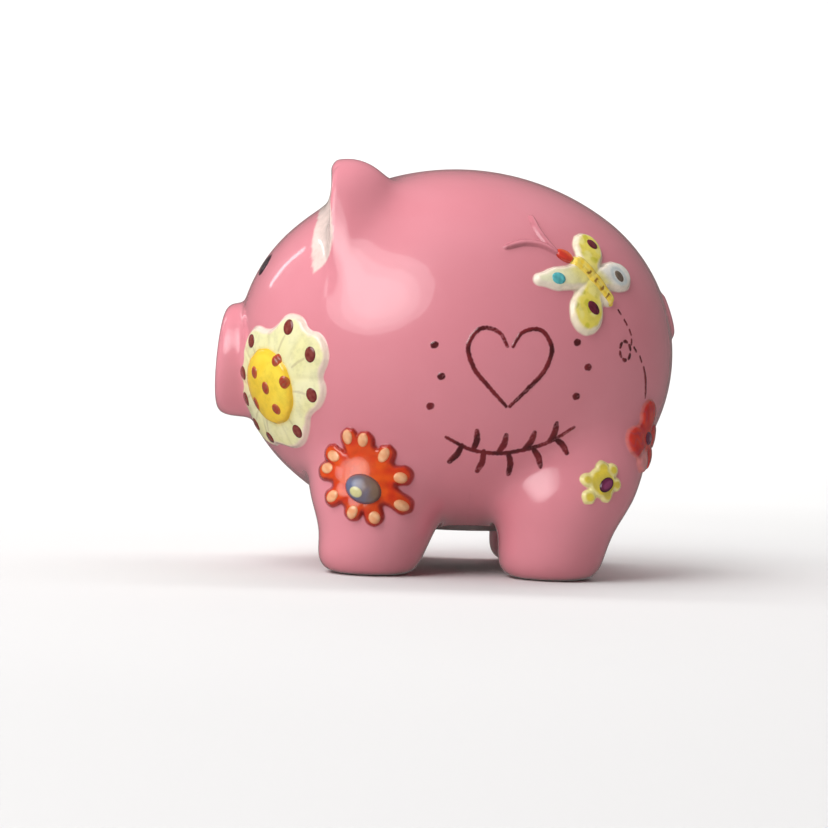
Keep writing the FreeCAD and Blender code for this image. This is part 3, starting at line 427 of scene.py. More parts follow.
def relief(name, at, n, box, pitch, shape, material, nodes, slot, deep=0.7, limit=None, mirror=False, both=False):
    """A sprig pressed on the skin: shape(u, v) gives its height, where it is, its colour and how much it covers."""
    x, y, n = facing(n)
    us = np.arange(box[0], box[2] + pitch / 2, pitch)
    vs = np.arange(box[1], box[3] + pitch / 2, pitch)
    U, V = np.meshgrid(us, vs, indexing="ij")
    high, keep, paint, cover = shape(U, V)
    P = np.array(at, float) + U[..., None] * x + V[..., None] * y
    top = np.full(P.shape, np.nan)
    idx = keep
    t, miss = settle(P[idx], n, high[idx])
    ok = miss < 0.03
    if limit is not None:
        k = limit(t)
        t2, miss2 = settle(P[idx], n, np.minimum(high[idx], -0.05 + (high[idx] + 0.05) * k))
        t, ok = t2, ok & (miss2 < 0.03)
    b, missb = settle(P[idx], n, np.minimum(high[idx] - 0.25, -deep))
    ok &= missb < 0.05
    grid = -np.ones(P.shape[:2], int)
    sel = np.argwhere(idx)[ok]
    grid[sel[:, 0], sel[:, 1]] = np.arange(len(sel))
    a, bq, c, d = grid[:-1, :-1], grid[1:, :-1], grid[1:, 1:], grid[:-1, 1:]
    full = (a >= 0) & (bq >= 0) & (c >= 0) & (d >= 0)
    q = np.stack([a[full], bq[full], c[full], d[full]], 1)
    m = len(sel)
    edges = np.concatenate([q[:, [0, 1]], q[:, [1, 2]], q[:, [2, 3]], q[:, [3, 0]]])
    key = edges[:, 0] * m + edges[:, 1]
    back = edges[:, 1] * m + edges[:, 0]
    rim = edges[~np.isin(key, back)]
    walls = np.stack([rim[:, 1], rim[:, 0], rim[:, 0] + m, rim[:, 1] + m], 1)
    quads = np.concatenate([q, q[:, ::-1] + m, walls])
    pts = np.concatenate([t[ok], b[ok]])
    used = np.unique(quads)
    renum = -np.ones(len(pts), int)
    renum[used] = np.arange(len(used))
    pts, quads = pts[used], renum[quads]
    pc = np.concatenate([paint[idx][ok]] * 2)[used]
    cc = np.concatenate([cover[idx][ok]] * 2)[used]
    quads = outward(pts, quads)
    out = [mesh(name, pts, quads, material, "body", nodes, slot, paint=pc, cover=cc)]
    if both:
        other = [k.replace("_left", "_right") for k in nodes]
        out.append(mesh(name.replace("_left", "_right"), pts, quads, material, "body", other, slot, paint=pc, cover=cc, mirror=True))
    return out


# ---------------------------------------------------------------- finishes
def shader(name):
    m = bpy.data.materials.new(name)
    m.use_nodes = True
    nt = m.node_tree
    nt.nodes.clear()
    out = nt.nodes.new("ShaderNodeOutputMaterial")
    b = nt.nodes.new("ShaderNodeBsdfPrincipled")
    nt.links.new(b.outputs[0], out.inputs[0])
    return m, nt, b


def node(nt, kind, **inputs):
    k = nt.nodes.new(kind)
    for key, val in inputs.items():
        sock = k.inputs[int(key[1:])] if key[0] == "i" and key[1:].isdigit() else k.inputs[key.replace("_", " ")]
        if isinstance(val, bpy.types.NodeSocket):
            nt.links.new(val, sock)
        else:
            sock.default_value = val
    return k


def maths(nt, op, a, b=0.0, c=0.0, clamp=False):
    k = nt.nodes.new("ShaderNodeMath")
    k.operation = op
    k.use_clamp = clamp
    for i, val in enumerate((a, b, c)):
        if isinstance(val, bpy.types.NodeSocket):
            nt.links.new(val, k.inputs[i])
        else:
            k.inputs[i].default_value = val
    return k.outputs[0]


def ramp(nt, fac, lo, hi, a=0.0, b=1.0):
    k = nt.nodes.new("ShaderNodeMapRange")
    k.interpolation_type = "SMOOTHSTEP"
    nt.links.new(fac, k.inputs[0])
    for i, val in enumerate((lo, hi, a, b)):
        k.inputs[i + 1].default_value = val
    return k.outputs[0]


def mixed(nt, fac, a, b, blend="MIX"):
    k = nt.nodes.new("ShaderNodeMix")
    k.data_type = "RGBA"
    k.blend_type = blend
    for sock, val in ((k.inputs[0], fac), (k.inputs[6], a), (k.inputs[7], b)):
        if isinstance(val, bpy.types.NodeSocket):
            nt.links.new(val, sock)
        else:
            sock.default_value = val if isinstance(val, float) else (*val, 1.0)
    return k.outputs[2]


def noise(nt, at, scale, detail=2.0, rough=0.5):
    k = nt.nodes.new("ShaderNodeTexNoise")
    nt.links.new(at, k.inputs["Vector"])
    k.inputs["Scale"].default_value = scale
    k.inputs["Detail"].default_value = detail
    k.inputs["Roughness"].default_value = rough
    return k.outputs[0]


PINK = (0.716, 0.247, 0.294)
PINK_THIN = (0.734, 0.267, 0.316)
PINK_DEEP = (0.668, 0.208, 0.255)
BISQUE = (0.78, 0.70, 0.60)


def pink_of(nt, at):
    """The body's pink: cloudy, a little deeper where the glaze lies thick, with fine specks."""
    cloud = noise(nt, at, 34.0, 3.0, 0.55)
    patch = noise(nt, at, 95.0, 4.0, 0.6)
    c = mixed(nt, ramp(nt, cloud, 0.30, 0.72), PINK, PINK_THIN)
    c = mixed(nt, ramp(nt, patch, 0.25, 0.90, 0.0, 0.12), c, PINK_DEEP)
    speck = noise(nt, at, 900.0, 2.0, 0.6)
    return mixed(nt, ramp(nt, speck, 0.66, 0.82, 0.0, 0.08), c, PINK_DEEP)


def glaze(name, painted=False, hollow=False):
    m, nt, b = shader(name)
    at = node(nt, "ShaderNodeTexCoord").outputs["Object"]
    colour = pink_of(nt, at)
    rough_extra = None
    if painted:
        a = nt.nodes.new("ShaderNodeAttribute")
        a.attribute_name = "paint"
        w = nt.nodes.new("ShaderNodeAttribute")
        w.attribute_name = "cover"
        streak = noise(nt, at, 520.0, 3.0, 0.62)
        broad = noise(nt, at, 150.0, 2.0, 0.5)
        dab = maths(nt, "MULTIPLY", ramp(nt, streak, 0.30, 0.75, 1.05, 0.88), ramp(nt, broad, 0.35, 0.70, 0.94, 1.06))
        k = mixed(nt, dab, (0.0, 0.0, 0.0), a.outputs["Color"])
        colour = mixed(nt, w.outputs["Fac"], colour, k)
    if hollow:
        d = nt.nodes.new("ShaderNodeAttribute")
        d.attribute_name = "depth"
        ragged = noise(nt, at, 260.0, 3.0, 0.6)
        edge = maths(nt, "ADD", d.outputs["Fac"], maths(nt, "MULTIPLY", maths(nt, "SUBTRACT", ragged, 0.5), 1.6))
        bare = ramp(nt, edge, 1.2, 2.1)
        clay = mixed(nt, ramp(nt, noise(nt, at, 420.0, 4.0, 0.7), 0.35, 0.7), BISQUE, (0.66, 0.57, 0.47))
        colour = mixed(nt, bare, colour, clay)
        rough_extra = bare
    # the wiped feet: bare clay just above the table
    z = nt.nodes.new("ShaderNodeSeparateXYZ")
    nt.links.new(at, z.inputs[0])
    foot_edge = maths(nt, "ADD", maths(nt, "MULTIPLY", z.outputs[2], 1000.0),
                      maths(nt, "MULTIPLY", maths(nt, "SUBTRACT", noise(nt, at, 300.0, 2.0, 0.6), 0.5), 0.35))
    foot = ramp(nt, foot_edge, 0.16, 0.24, 1.0, 0.0)
    clay = mixed(nt, ramp(nt, noise(nt, at, 500.0, 4.0, 0.7), 0.35, 0.7), BISQUE, (0.62, 0.53, 0.44))
    colour = mixed(nt, foot, colour, clay)
    bare = foot if rough_extra is None else maths(nt, "MAXIMUM", foot, rough_extra)
    nt.links.new(colour, b.inputs["Base Color"])
    # brush and firing leave slow waves and a fine peel in the glass
    peel = noise(nt, at, 210.0, 2.0, 0.5)
    slow = noise(nt, at, 46.0, 2.0, 0.5)
    height = maths(nt, "ADD", maths(nt, "MULTIPLY", peel, 0.16), slow)
    bump = nt.nodes.new("ShaderNodeBump")
    bump.inputs["Strength"].default_value = 0.16
    bump.inputs["Distance"].default_value = 0.0009
    nt.links.new(height, bump.inputs["Height"])
    nt.links.new(bump.outputs[0], b.inputs["Normal"])
    nt.links.new(bump.outputs[0], b.inputs["Coat Normal"])
    rough = maths(nt, "ADD", ramp(nt, noise(nt, at, 60.0, 3.0, 0.6), 0.3, 0.7, 0.23, 0.27), maths(nt, "MULTIPLY", bare, 0.5))
    nt.links.new(rough, b.inputs["Roughness"])
    nt.links.new(ramp(nt, bare, 0.0, 1.0, 1.0, 0.0), b.inputs["Coat Weight"])
    b.inputs["Coat Roughness"].default_value = 0.045
    b.inputs["Coat IOR"].default_value = 1.5
    b.inputs["IOR"].default_value = 1.46
    b.inputs["Specular IOR Level"].default_value = 0.4
    return m


PINK_GLAZE = glaze("pink_glaze", hollow=False)
SHELL_GLAZE = glaze("shell_glaze", painted=True, hollow=True)
PAINTED = glaze("painted_glaze", painted=True)


CREAM = (0.86, 0.80, 0.50)
IVORY = (0.90, 0.80, 0.70)
EAR_WHITE = (0.84, 0.66, 0.60)


# ---------------------------------------------------------------- shell and luted pieces
def inner_ear(p):
    """How much of a point is in the cream brushed inside an ear."""
    x, y, z = ear_local(p)
    t, (cx, cy, rx, ry) = EAR
    a = (x - np.interp(z, t, cx)) / np.interp(z, t, rx) + 0.02 * wave(x, z, 3, 5.0)
    lip = -7.9 + 0.13 * np.maximum(88.0 - p[..., 2], 0.0)
    front = -10.9 - 0.9 * np.clip(1 - np.abs(x - 5) / 9, 0, 1) + 0.15 * wave(x, z, 4, 4.0)
    front = np.where(z > 3, front + 0.03 * (z - 3) ** 2, front)
    foot = -7.5 + 0.35 * np.maximum(x - 6.0, 0.0)
    dish = step(14.9, 14.5, np.sqrt((x + 1.5) ** 2 + (y + 19.4) ** 2 + (z - 5.5) ** 2))
    return (step(1.05, 1.0, a) * step(-1.05, -1.0, a) * np.maximum(step(lip + 0.8, lip + 0.4, y), dish) * step(front, front + 0.5, y)
            * step(foot, foot + 1.0, z) * step(13.4, 12.4, z) * step(0.0, 3.0, np.abs(p[..., 0]) - 6.0))


def shell(p):
    e = egg(p)
    d = smax(e, -(e + WALL), 0.6)
    x, y, z = p[..., 0], p[..., 1], p[..., 2]
    slot = np.hypot(x, np.maximum(np.abs(y - 3.0) - 14.5, 0.0)) - 2.5
    d = np.where(z > AX, smax(d, -slot, 1.9), d)
    r = np.hypot(x, y - 5.0)
    seat = np.maximum(r - 16.3, z - 12.2)
    low = smax(smax(d, -(r - 13.0), 0.5), -seat, 0.7)
    return np.where(z < AX, low, d)


pts, quads = iso(shell, (-46.2, -52.6, 7.2), (46.2, 57.4, 99.4), 0.62)
cover = inner_ear(pts) * (egg(pts) > -0.5)
mesh("pig_shell", pts, quads, SHELL_GLAZE, "body", ["body_shell"], "pink_glaze",
     paint=np.broadcast_to(EAR_WHITE, (len(pts), 3)), cover=cover, depth=-egg(pts))


def luted(name, part, reach, lo, hi, h, nodes, extra=None, mirror=None, painted=False):
    """A piece luted on the shell, its joint smoothed over so that it runs out level with the skin."""
    def f(p):
        d = np.maximum(np.maximum(skin(p) + 0.004, -(egg(p) + 0.8)), part(p) - (reach(p) if callable(reach) else reach))
        return d if extra is None else np.maximum(d, extra(p))
    pts, quads = iso(f, lo, hi, h)
    kw = {}
    if painted:
        kw = {"paint": np.broadcast_to(EAR_WHITE, (len(pts), 3)), "cover": inner_ear(pts)}
    mat = PAINTED if painted else PINK_GLAZE
    mesh(name, pts, quads, mat, "body", nodes, "pink_glaze", **kw)
    if mirror:
        mesh(mirror[0], pts, quads, mat, "body", [mirror[1]], "pink_glaze", mirror=True, **kw)


def well(p):
    """The stopper's hole and its seat, kept clear of the joints round the legs."""
    x, y, z = p[..., 0], p[..., 1], p[..., 2]
    r = np.where(z < AX, np.hypot(x, y - 5.0), 60.0)
    return np.maximum(13.0 - r, np.minimum(16.3 - r, 12.2 - z))


def one_side(p):
    return 0.012 - p[..., 0]


def beside(p, s):
    """Where two legs' joints meet on the belly, each sinks under the other before it ends."""
    d = np.maximum(s - 2.4, skin(p) + 0.004 + 0.45 * step(0.3, 2.0, s))
    return np.maximum(np.maximum(d, well(p)), one_side(p))


luted("pig_leg_front_left", leg_front, 8.6, (-0.9, -42, -0.9), (44, 10, 50), 0.62, ["leg_front_left"],
      extra=lambda p: beside(p, leg_front(p) - leg_rear(p)), mirror=("pig_leg_front_right", "leg_front_right"))
luted("pig_leg_rear_left", leg_rear, 8.6, (-0.9, 0, -0.9), (46, 58, 56), 0.62, ["leg_rear_left"],
      extra=lambda p: beside(p, leg_rear(p) - leg_front(p)), mirror=("pig_leg_rear_right", "leg_rear_right"))
luted("pig_ear_left", ear, lambda p: ear_fillet(p) + 0.4, (-0.9, -50, 54), (50, 14, 101), 0.5, ["ear_left"], extra=one_side, painted=True,
      mirror=("pig_ear_right", "ear_right"))
luted("pig_snout", snout, 3.2, (-19, -60, 31), (19, -38, 69), 0.42, ["snout"])
luted("pig_tail", tail, 2.6, (-14, 44, 50), (14, 60, 80), 0.36, ["tail"])

# eyes: glossy black beads pressed flat
for side in (1, -1):
    at, n = np.array([11.8, -44.9, 73.0]), (0.38, -0.78, 0.50)

    def eye(u, v):
        d = oval(u, v, 0, 0, 2.1, 2.9, 6.0)
        high = 0.34 * pillow(d, 1.6) + bank(d, 0.08, 0.6)
        glow = np.hypot(u + 0.5, v - 0.8)
        return high, d < 0.9, tint((0.030, 0.008, 0.016), ((0.014, 0.006, 0.010), step(2.2, 0.4, glow))), step(0.28, 0.08, d)

    if side == 1:
        got = relief("pig_eye_left", at, n, (-3.4, -4.2, 3.4, 4.2), 0.16, eye, PAINTED, ["eyes"], "black_glaze")
        m = got[0].data
        co = np.zeros(len(m.vertices) * 3, np.float32)
        m.vertices.foreach_get("co", co)
        eye_pts = co.reshape(-1, 3).astype(float) * 1000
        eye_quads = np.array([list(p.vertices) for p in m.polygons])
        pc = np.zeros(len(m.vertices) * 4, np.float32)
        m.attributes["paint"].data.foreach_get("color", pc)
        cv = np.zeros(len(m.vertices), np.float32)
        m.attributes["cover"].data.foreach_get("value", cv)
    else:
        mesh("pig_eye_right", eye_pts, eye_quads, PAINTED, "body", ["eyes"], "black_glaze",
             paint=pc.reshape(-1, 4)[:, :3], cover=cv, mirror=True)


# ---------------------------------------------------------------- cheek flower
CHEEK_AT, CHEEK_N = flank(-40.0, 43.6)
CHEEK_EDGE = ring([(3.5, 15.5), (5.1, 16.1), (7.3, 15.9), (8.9, 15.4), (10.25, 14.4), (11.3, 12.9), (12.6, 12.0), (14.0, 11.7),
                   (15.4, 10.8), (16.4, 9.5), (17.1, 7.7), (17.3, 5.9), (16.8, 4.0), (15.9, 2.5), (15.4, 1.1), (15.8, -0.5),
                   (15.6, -2.3), (14.6, -4.2), (13.1, -5.8), (11.1, -6.9), (9.5, -8.2), (8.5, -10.1), (7.1, -12.4), (5.0, -14.5),
                   (1.9, -15.9), (-1.4, -16.3), (-4.2, -15.8), (-6.3, -15.6), (-9.3, -16.4), (-12.2, -15.7), (-14.6, -13.9),
                   (-15.9, -11.6), (-15.6, -9.2), (-16.6, -7.0), (-16.9, -4.4), (-16.0, -2.2), (-14.9, -0.6), (-15.3, 1.6),
                   (-14.6, 3.9), (-12.9, 5.6), (-12.8, 7.8), (-11.5, 10.1), (-9.6, 12.2), (-7.5, 13.4), (-5.0, 13.5),
                   (-2.4, 13.0), (0.0, 13.1), (1.9, 14.1)])
CHEEK_LOBES = [(5.3, 10.6, 5.3), (11.5, 5.6, 5.2), (11.2, -2.2, 4.5), (4.6, -10.5, 5.0), (-5.4, -11.6, 4.7),
               (-11.2, -9.6, 4.3), (-12.6, -3.6, 4.2), (-11.2, 3.2, 4.4), (-5.8, 9.0, 4.8)]
CHEEK_DOTS = [(6.3, 13.2), (13.0, 6.8), (12.2, -2.6), (4.6, -11.4), (-8.2, -13.6), (-13.2, -10.6), (-14.3, -4.2),
              (-12.9, 2.4), (-7.6, 10.2)]
BUTTON = (-1.7, -0.5, 8.4, 9.1, 12.0)
BUTTON_DOTS = [(3.3, 6.0), (-4.6, 3.2), (-0.7, -0.4), (5.3, 0.8), (-6.6, -4.5), (1.2, -5.6)]


def cheek_petal_height(u, v):
    lobes = np.stack([circ(u, v, *q) for q in CHEEK_LOBES])
    d = outline(u, v, CHEEK_EDGE) + 0.38
    two = np.sort(lobes, axis=0)
    r = np.hypot(u + 1.3, v + 0.6)
    furrow = np.exp(-((two[1] - two[0]) / 1.1) ** 2) * step(6.5, 11.0, r)
    dome = 0.12 * step(1.0, -3.5, two[0])
    return d, 0.78 * pillow(d, 0.8) + dome - 0.10 * furrow * pillow(d, 3.0) + bank(d, 0.14, 0.8), furrow


def cheek_button_over(u, v):
    d = oval(u, v, *BUTTON) + 0.08 * wave(u, v, 12, 4.0)
    return d, 0.25 + 1.25 * pillow(d, 8.5)


def cheek_petals(u, v):
    d, high, furrow = cheek_petal_height(u, v)
    db, _ = cheek_button_over(u, v)
    # The darker tone laid in the furrows between the lobes is painted shade.
    col = tint((0.84, 0.80, 0.40),
               ((0.86, 0.83, 0.50), 0.5 + 0.5 * wave(u, v, 5, 9.0)),
               ((0.76, 0.68, 0.34), 0.20 * furrow),
               ((0.84, 0.68, 0.18), 0.5 * step(1.0, 0.0, db)),
               ((0.92, 0.70, 0.62), 0.85 * step(-1.1, -0.25, d + 0.15 * wave(u, v, 6, 4.0))))
    for (x, y) in CHEEK_DOTS:
        k = 0.60
        line, _ = brush(u, v, [(x * 0.86, y * 0.86), (x * 0.74 - 0.2, y * 0.74 + 0.2), (x * k - 0.4, y * k)], 0.42, 0.25)
        ink = 0.38 * step(0.25, -0.05, line)[..., None]
        col = col * (1 - ink) + np.array((0.40, 0.30, 0.20)) * ink
    return high, d < 1.5, col, step(0.55, 0.02, d)


def cheek_button(u, v):
    d, over = cheek_button_over(u, v)
    _, base, _ = cheek_petal_height(u, v)
    high = np.where(d < 0, base + over, base - 0.12)
    high = base - 0.12 + (0.37 + 1.25 * pillow(d, 8.5)) * step(0.30, -0.55, d)
    col = tint((0.90, 0.60, 0.03),
               ((0.93, 0.70, 0.06), step(-6, 6, u + v * 0.4 + 2.0 * wave(u, v, 9, 5.0))),
               ((0.86, 0.47, 0.02), 0.6 * step(-1.8, 0.0, d)))
    return high, d < 0.9, col, np.ones_like(d)


def drops(points, base, a, b, rise, seeds, colour, spin=None):
    """Raised drops of glaze on what lies under them."""
    def shape(u, v):
        best, hit = np.full(u.shape, 99.0), np.zeros(u.shape, int)
        for i, q in enumerate(points):
            r = np.random.default_rng(seeds + i)
            s = r.uniform(0.88, 1.12)
            deg = (spin[i] if spin is not None else 90.0) + r.uniform(-14, 14)
            scale = q[2] if len(q) > 2 else 1.0
            d = oval(u, v, q[0], q[1], a * s * scale, b / s**0.5 * scale, deg)
            hit = np.where(d < best, i, hit)
            best = np.minimum(best, d)
        ground = base(u, v)
        high = ground - 0.10 + (0.13 + rise * pillow(best, min(a, b) * 1.0)) * step(0.22, -0.12, best)
        return high, best < 0.5, colour(u, v, best, hit), np.ones_like(best)
    return shape


def brown(u, v, d, hit):
    turn = wave(u * 2.2, v * 2.2, 21, 3.0)
    return tint((0.20, 0.022, 0.020), ((0.27, 0.062, 0.045), 0.45 + 0.45 * turn), ((0.095, 0.010, 0.010), 0.6 * step(-0.45, 0.0, d)))


def russet(u, v, d, hit):
    turn = wave(u * 2.2, v * 2.2, 22, 3.0)
    return tint((0.42, 0.035, 0.018), ((0.30, 0.09, 0.04), 0.45 + 0.5 * turn), ((0.62, 0.17, 0.03), 0.7 * step(-0.5, 0.0, d)))


def cheek_ground(u, v):
    return cheek_petal_height(u, v)[1]


def button_ground(u, v):
    return cheek_button(u, v)[0]


def clear_of_snout(p):
    return step(0.5, 1.6, snout(p))


relief("flower_cheek_petals_left", CHEEK_AT, CHEEK_N, (-21, -19.5, 19, 18.5), 0.24, cheek_petals, PAINTED,
       ["cheek_petals_left"], "cream_glaze", limit=clear_of_snout, both=True)
relief("flower_cheek_centre_left", CHEEK_AT, CHEEK_N, (-11, -11.5, 9, 10.5), 0.2, cheek_button, PAINTED,
       ["cheek_centre_left"], "yellow_glaze", both=True)
pd = drops(CHEEK_DOTS, cheek_ground, 1.62, 1.52, 0.26, 40, brown)
bd = drops(BUTTON_DOTS, button_ground, 1.5, 1.2, 0.28, 60, russet)


def cheek_dots(u, v):
    h1, k1, c1, o = pd(u, v)
    h2, k2, c2, _ = bd(u, v)
    return np.where(k2, h2, h1), k1 | k2, np.where(k2[..., None], c2, c1), o


relief("flower_cheek_dots_left", CHEEK_AT, CHEEK_N, (-18.5, -16.5, 16.5, 16), 0.14, cheek_dots, PAINTED,
       ["cheek_dots_left"], "maroon_glaze", limit=clear_of_snout, both=True)


# ---------------------------------------------------------------- orange flower on the front leg
ORANGE_AT = np.array([36.62, -17.9, 22.8])
ORANGE_N = (0.985, -0.17, 0.07)
ORANGE_TIPS = [(-5.0, 10.9), (-0.4, 10.4), (6.1, 7.0), (10.7, 1.0), (10.6, -7.0), (3.2, -10.8), (-2.8, -9.8),
               (-9.3, -5.9), (-11.9, 1.6), (-10.2, 6.4)]
ORANGE_DOTS = [(-4.45, 9.1), (-0.65, 8.5), (4.3, 5.2), (8.2, 0.2), (8.7, -6.1), (2.9, -9.1), (-2.3, -8.1),
               (-7.5, -4.6), (-9.4, 1.9), (-7.9, 4.7)]
BEAD = (-0.1, -2.7, 4.4, 3.25, -22.0)


def orange_height(u, v):
    arms = []
    for i, (x, y) in enumerate(ORANGE_TIPS):
        L = math.hypot(x, y)
        e = (x * (1 - 2.1 / L), y * (1 - 2.1 / L))
        arms.append(bar(u, v, x * 0.25, y * 0.25, e[0], e[1], 2.1, 2.15))
    arms = np.stack(arms)
    d = circ(u, v, -0.3, -0.3, 7.6)
    for q in arms:
        d = smin(d, q, 1.1)
    d = d + 0.07 * wave(u, v, 31, 2.5)
    near = arms.min(0)
    r = np.hypot(u, v)
    return d, 0.88 * pillow(d, 0.9) + 0.22 * pillow(near, 2.0) * step(5.0, 8.0, r) + bank(d, 0.15, 0.8), near, r


def orange_petals(u, v):
    d, high, near, r = orange_height(u, v)
    col = tint((0.64, 0.036, 0.006),
               ((0.74, 0.080, 0.006), 0.5 + 0.5 * wave(u, v, 33, 4.0)),
               ((0.78, 0.110, 0.008), 0.5 * step(7.0, 1.5, r)),
               ((0.30, 0.016, 0.014), 0.8 * step(-0.8, -0.1, d)),
               ((0.44, 0.020, 0.014), 0.4 * step(-1.1, -0.2, near) * step(5.5, 8.0, r)))
    return high, d < 1.2, col, step(0.42, 0.02, d)


def orange_bead(u, v):
    d = oval(u, v, *BEAD)
    base = orange_height(u, v)[1]
    high = base - 0.12 + (0.25 + 1.35 * pillow(d, 3.2)) * step(0.26, -0.4, d)
    col = tint((0.20, 0.135, 0.115),
               ((0.12, 0.15, 0.27), 0.9 * step(1.0, -3.8, u + 0.5 * v + 0.8 * wave(u, v, 35, 3.0))),
               ((0.27, 0.17, 0.10), 0.6 * step(1.0, 4.0, u - 0.2 * v)),
               ((0.09, 0.06, 0.06), 0.6 * step(-0.7, 0.0, d)))
    spot = oval(u, v, -1.45, -3.5, 1.5, 1.1, -25.0)
    col = tint((0, 0, 0), (col, np.ones_like(u)), ((0.66, 0.62, 0.30), step(0.16, -0.12, spot)))
    high = high + 0.16 * pillow(spot, 0.8)
    return high, d < 0.8, col, np.ones_like(d)


def peach(u, v, d, hit):
    turn = wave(u * 1.6, v * 1.6, 37, 3.0)
    return tint((0.83, 0.36, 0.17), ((0.90, 0.50, 0.27), 0.5 + 0.5 * turn), ((0.70, 0.20, 0.06), 0.6 * step(-0.35, 0.0, d)))


relief("flower_orange_petals", ORANGE_AT, ORANGE_N, (-14.5, -13.5, 13.5, 13.5), 0.2, orange_petals, PAINTED,
       ["orange_petals"], "orange_glaze")
relief("flower_orange_bead", ORANGE_AT, ORANGE_N, (-6.5, -8.0, 6.5, 3.0), 0.15, orange_bead, PAINTED,
       ["orange_bead"], "slate_glaze")
relief("flower_orange_dots", ORANGE_AT, ORANGE_N, (-12.5, -12, 12, 12), 0.13,
       drops(ORANGE_DOTS, lambda u, v: orange_height(u, v)[1], 1.6, 1.22, 0.26, 80, peach,
             [math.degrees(math.atan2(y, x)) for x, y in ORANGE_TIPS]), PAINTED, ["orange_dots"], "peach_glaze")


# ---------------------------------------------------------------- yellow flower on the rear leg
YELLOW_AT = np.array([35.82, 36.3, 23.5])
YELLOW_N = (0.89, 0.45, 0.02)
YELLOW_LOBES = [(0.7, 3.1, 1.75), (3.3, 2.7, 1.6), (4.0, -0.7, 1.6), (1.1, -3.2, 1.7), (-3.4, -3.6, 1.75), (-3.5, 0.3, 1.6)]


def yellow_height(u, v):
    d = circ(u, v, 0.2, -0.3, 3.6)
    for q in YELLOW_LOBES:
        d = smin(d, circ(u, v, *q), 1.3)
    d = d + 0.25 + 0.06 * wave(u, v, 41, 2.5)
    return d, 0.58 * pillow(d, 0.7) + bank(d, 0.12, 0.7)


def yellow_petals(u, v):
    d, high = yellow_height(u, v)
    col = tint((0.80, 0.62, 0.06), ((0.66, 0.52, 0.08), 0.5 + 0.6 * wave(u, v, 43, 4.0)),
               ((0.90, 0.82, 0.38), 0.8 * step(-0.8, -0.2, d)))
    return high, d < 1.1, col, step(0.40, 0.02, d)


def yellow_centre(u, v):
    d = oval(u, v, 0.9, -0.75, 2.15, 1.45, 38.0)
    high = yellow_height(u, v)[1] - 0.1 + (0.15 + 0.5 * pillow(d, 1.2)) * step(0.2, -0.25, d)
    col = tint((0.11, 0.012, 0.05), ((0.24, 0.04, 0.12), step(-0.4, -1.1, d)), ((0.03, 0.006, 0.012), step(-0.35, 0.0, d)))
    return high, d < 0.5, col, np.ones_like(d)


relief("flower_yellow_petals", YELLOW_AT, YELLOW_N, (-7, -7.5, 7.5, 7), 0.15, yellow_petals, PAINTED,
       ["yellow_petals"], "lemon_glaze")
relief("flower_yellow_centre", YELLOW_AT, YELLOW_N, (-1.8, -3.5, 3.6, 1.9), 0.11, yellow_centre, PAINTED,
       ["yellow_centre"], "maroon_glaze")


# ---------------------------------------------------------------- red flower on the rump
RED_AT, RED_N = flank(46.4, 38.0)
RED_LOBES = [(3.1, 0.9, 3.8), (-3.0, -5.2, 3.5), (-0.6, -9.8, 2.7), (7.0, -4.0, 3.2), (4.9, -9.0, 3.0)]


def red_height(u, v):
    lobes = np.stack([circ(u, v, *q) for q in RED_LOBES])
    d = circ(u, v, 1.9, -4.3, 4.5)
    for q in lobes:
        d = smin(d, q, 1.6)
    d = d + 0.08 * wave(u, v, 51, 3.0)
    two = np.sort(lobes, axis=0)
    furrow = np.exp(-((two[1] - two[0]) / 0.9) ** 2) * step(2.0, 4.5, np.hypot(u - 1.7, v + 4.2))
    return d, 0.8 * pillow(d, 0.9) + 0.35 * step(0.5, -2.8, two[0]) - 0.25 * furrow * pillow(d, 2.0) + bank(d, 0.16, 0.8), furrow


def red_petals(u, v):
    d, high, furrow = red_height(u, v)
    dx, dy = u - 1.9, v + 4.3
    streak = np.abs(np.sin(np.arctan2(dy, dx) * 9 + wave(u, v, 52, 3.0))) ** 6
    # The darker red in the furrows between the lobes is painted shade, and the pale pink band round the flower's edge
    # is a painted highlight.
    col = tint((0.56, 0.018, 0.020), ((0.68, 0.050, 0.024), 0.5 + 0.5 * wave(u, v, 53, 4.0)),
               ((0.28, 0.016, 0.018), 0.5 * furrow), ((0.26, 0.06, 0.11), 0.30 * streak * step(3.0, 4.5, np.hypot(dx, dy))),
               ((0.82, 0.30, 0.28), 0.65 * step(-0.35, 0.10, d)))
    low = step(0.6, -0.9, circ(u, v, -0.6, -9.8, 2.8))
    col = tint((0, 0, 0), (col, np.ones_like(u)), ((0.72, 0.36, 0.36), 0.7 * low))
    return high, d < 1.2, col, step(0.42, 0.02, d)


def red_centre(u, v):
    d = oval(u, v, 2.1, -4.4, 1.7, 1.5, 30.0)
    high = red_height(u, v)[1] - 0.1 + (0.15 + 0.55 * pillow(d, 1.5)) * step(0.2, -0.25, d)
    col = tint((0.12, 0.03, 0.06), ((0.24, 0.10, 0.15), step(-0.4, -1.3, d)))
    return high, d < 0.5, col, np.ones_like(d)


relief("flower_red_petals", RED_AT, RED_N, (-9, -14, 12, 7), 0.17, red_petals, PAINTED, ["red_petals"], "red_glaze")
relief("flower_red_centre", RED_AT, RED_N, (-1, -7, 5, -1), 0.12, red_centre, PAINTED, ["red_centre"], "maroon_glaze")


# ---------------------------------------------------------------- butterfly
FLY_AT, FLY_N = flank(32.6, 70.5)
TOP, RIGHT, BOTTOM = (1.6, 7.6, 4.5, 3.7, 74.0), (8.1, 0.9, 4.5, 3.6, 18.0), (-2.8, -8.7, 5.0, 4.2, 78.0)


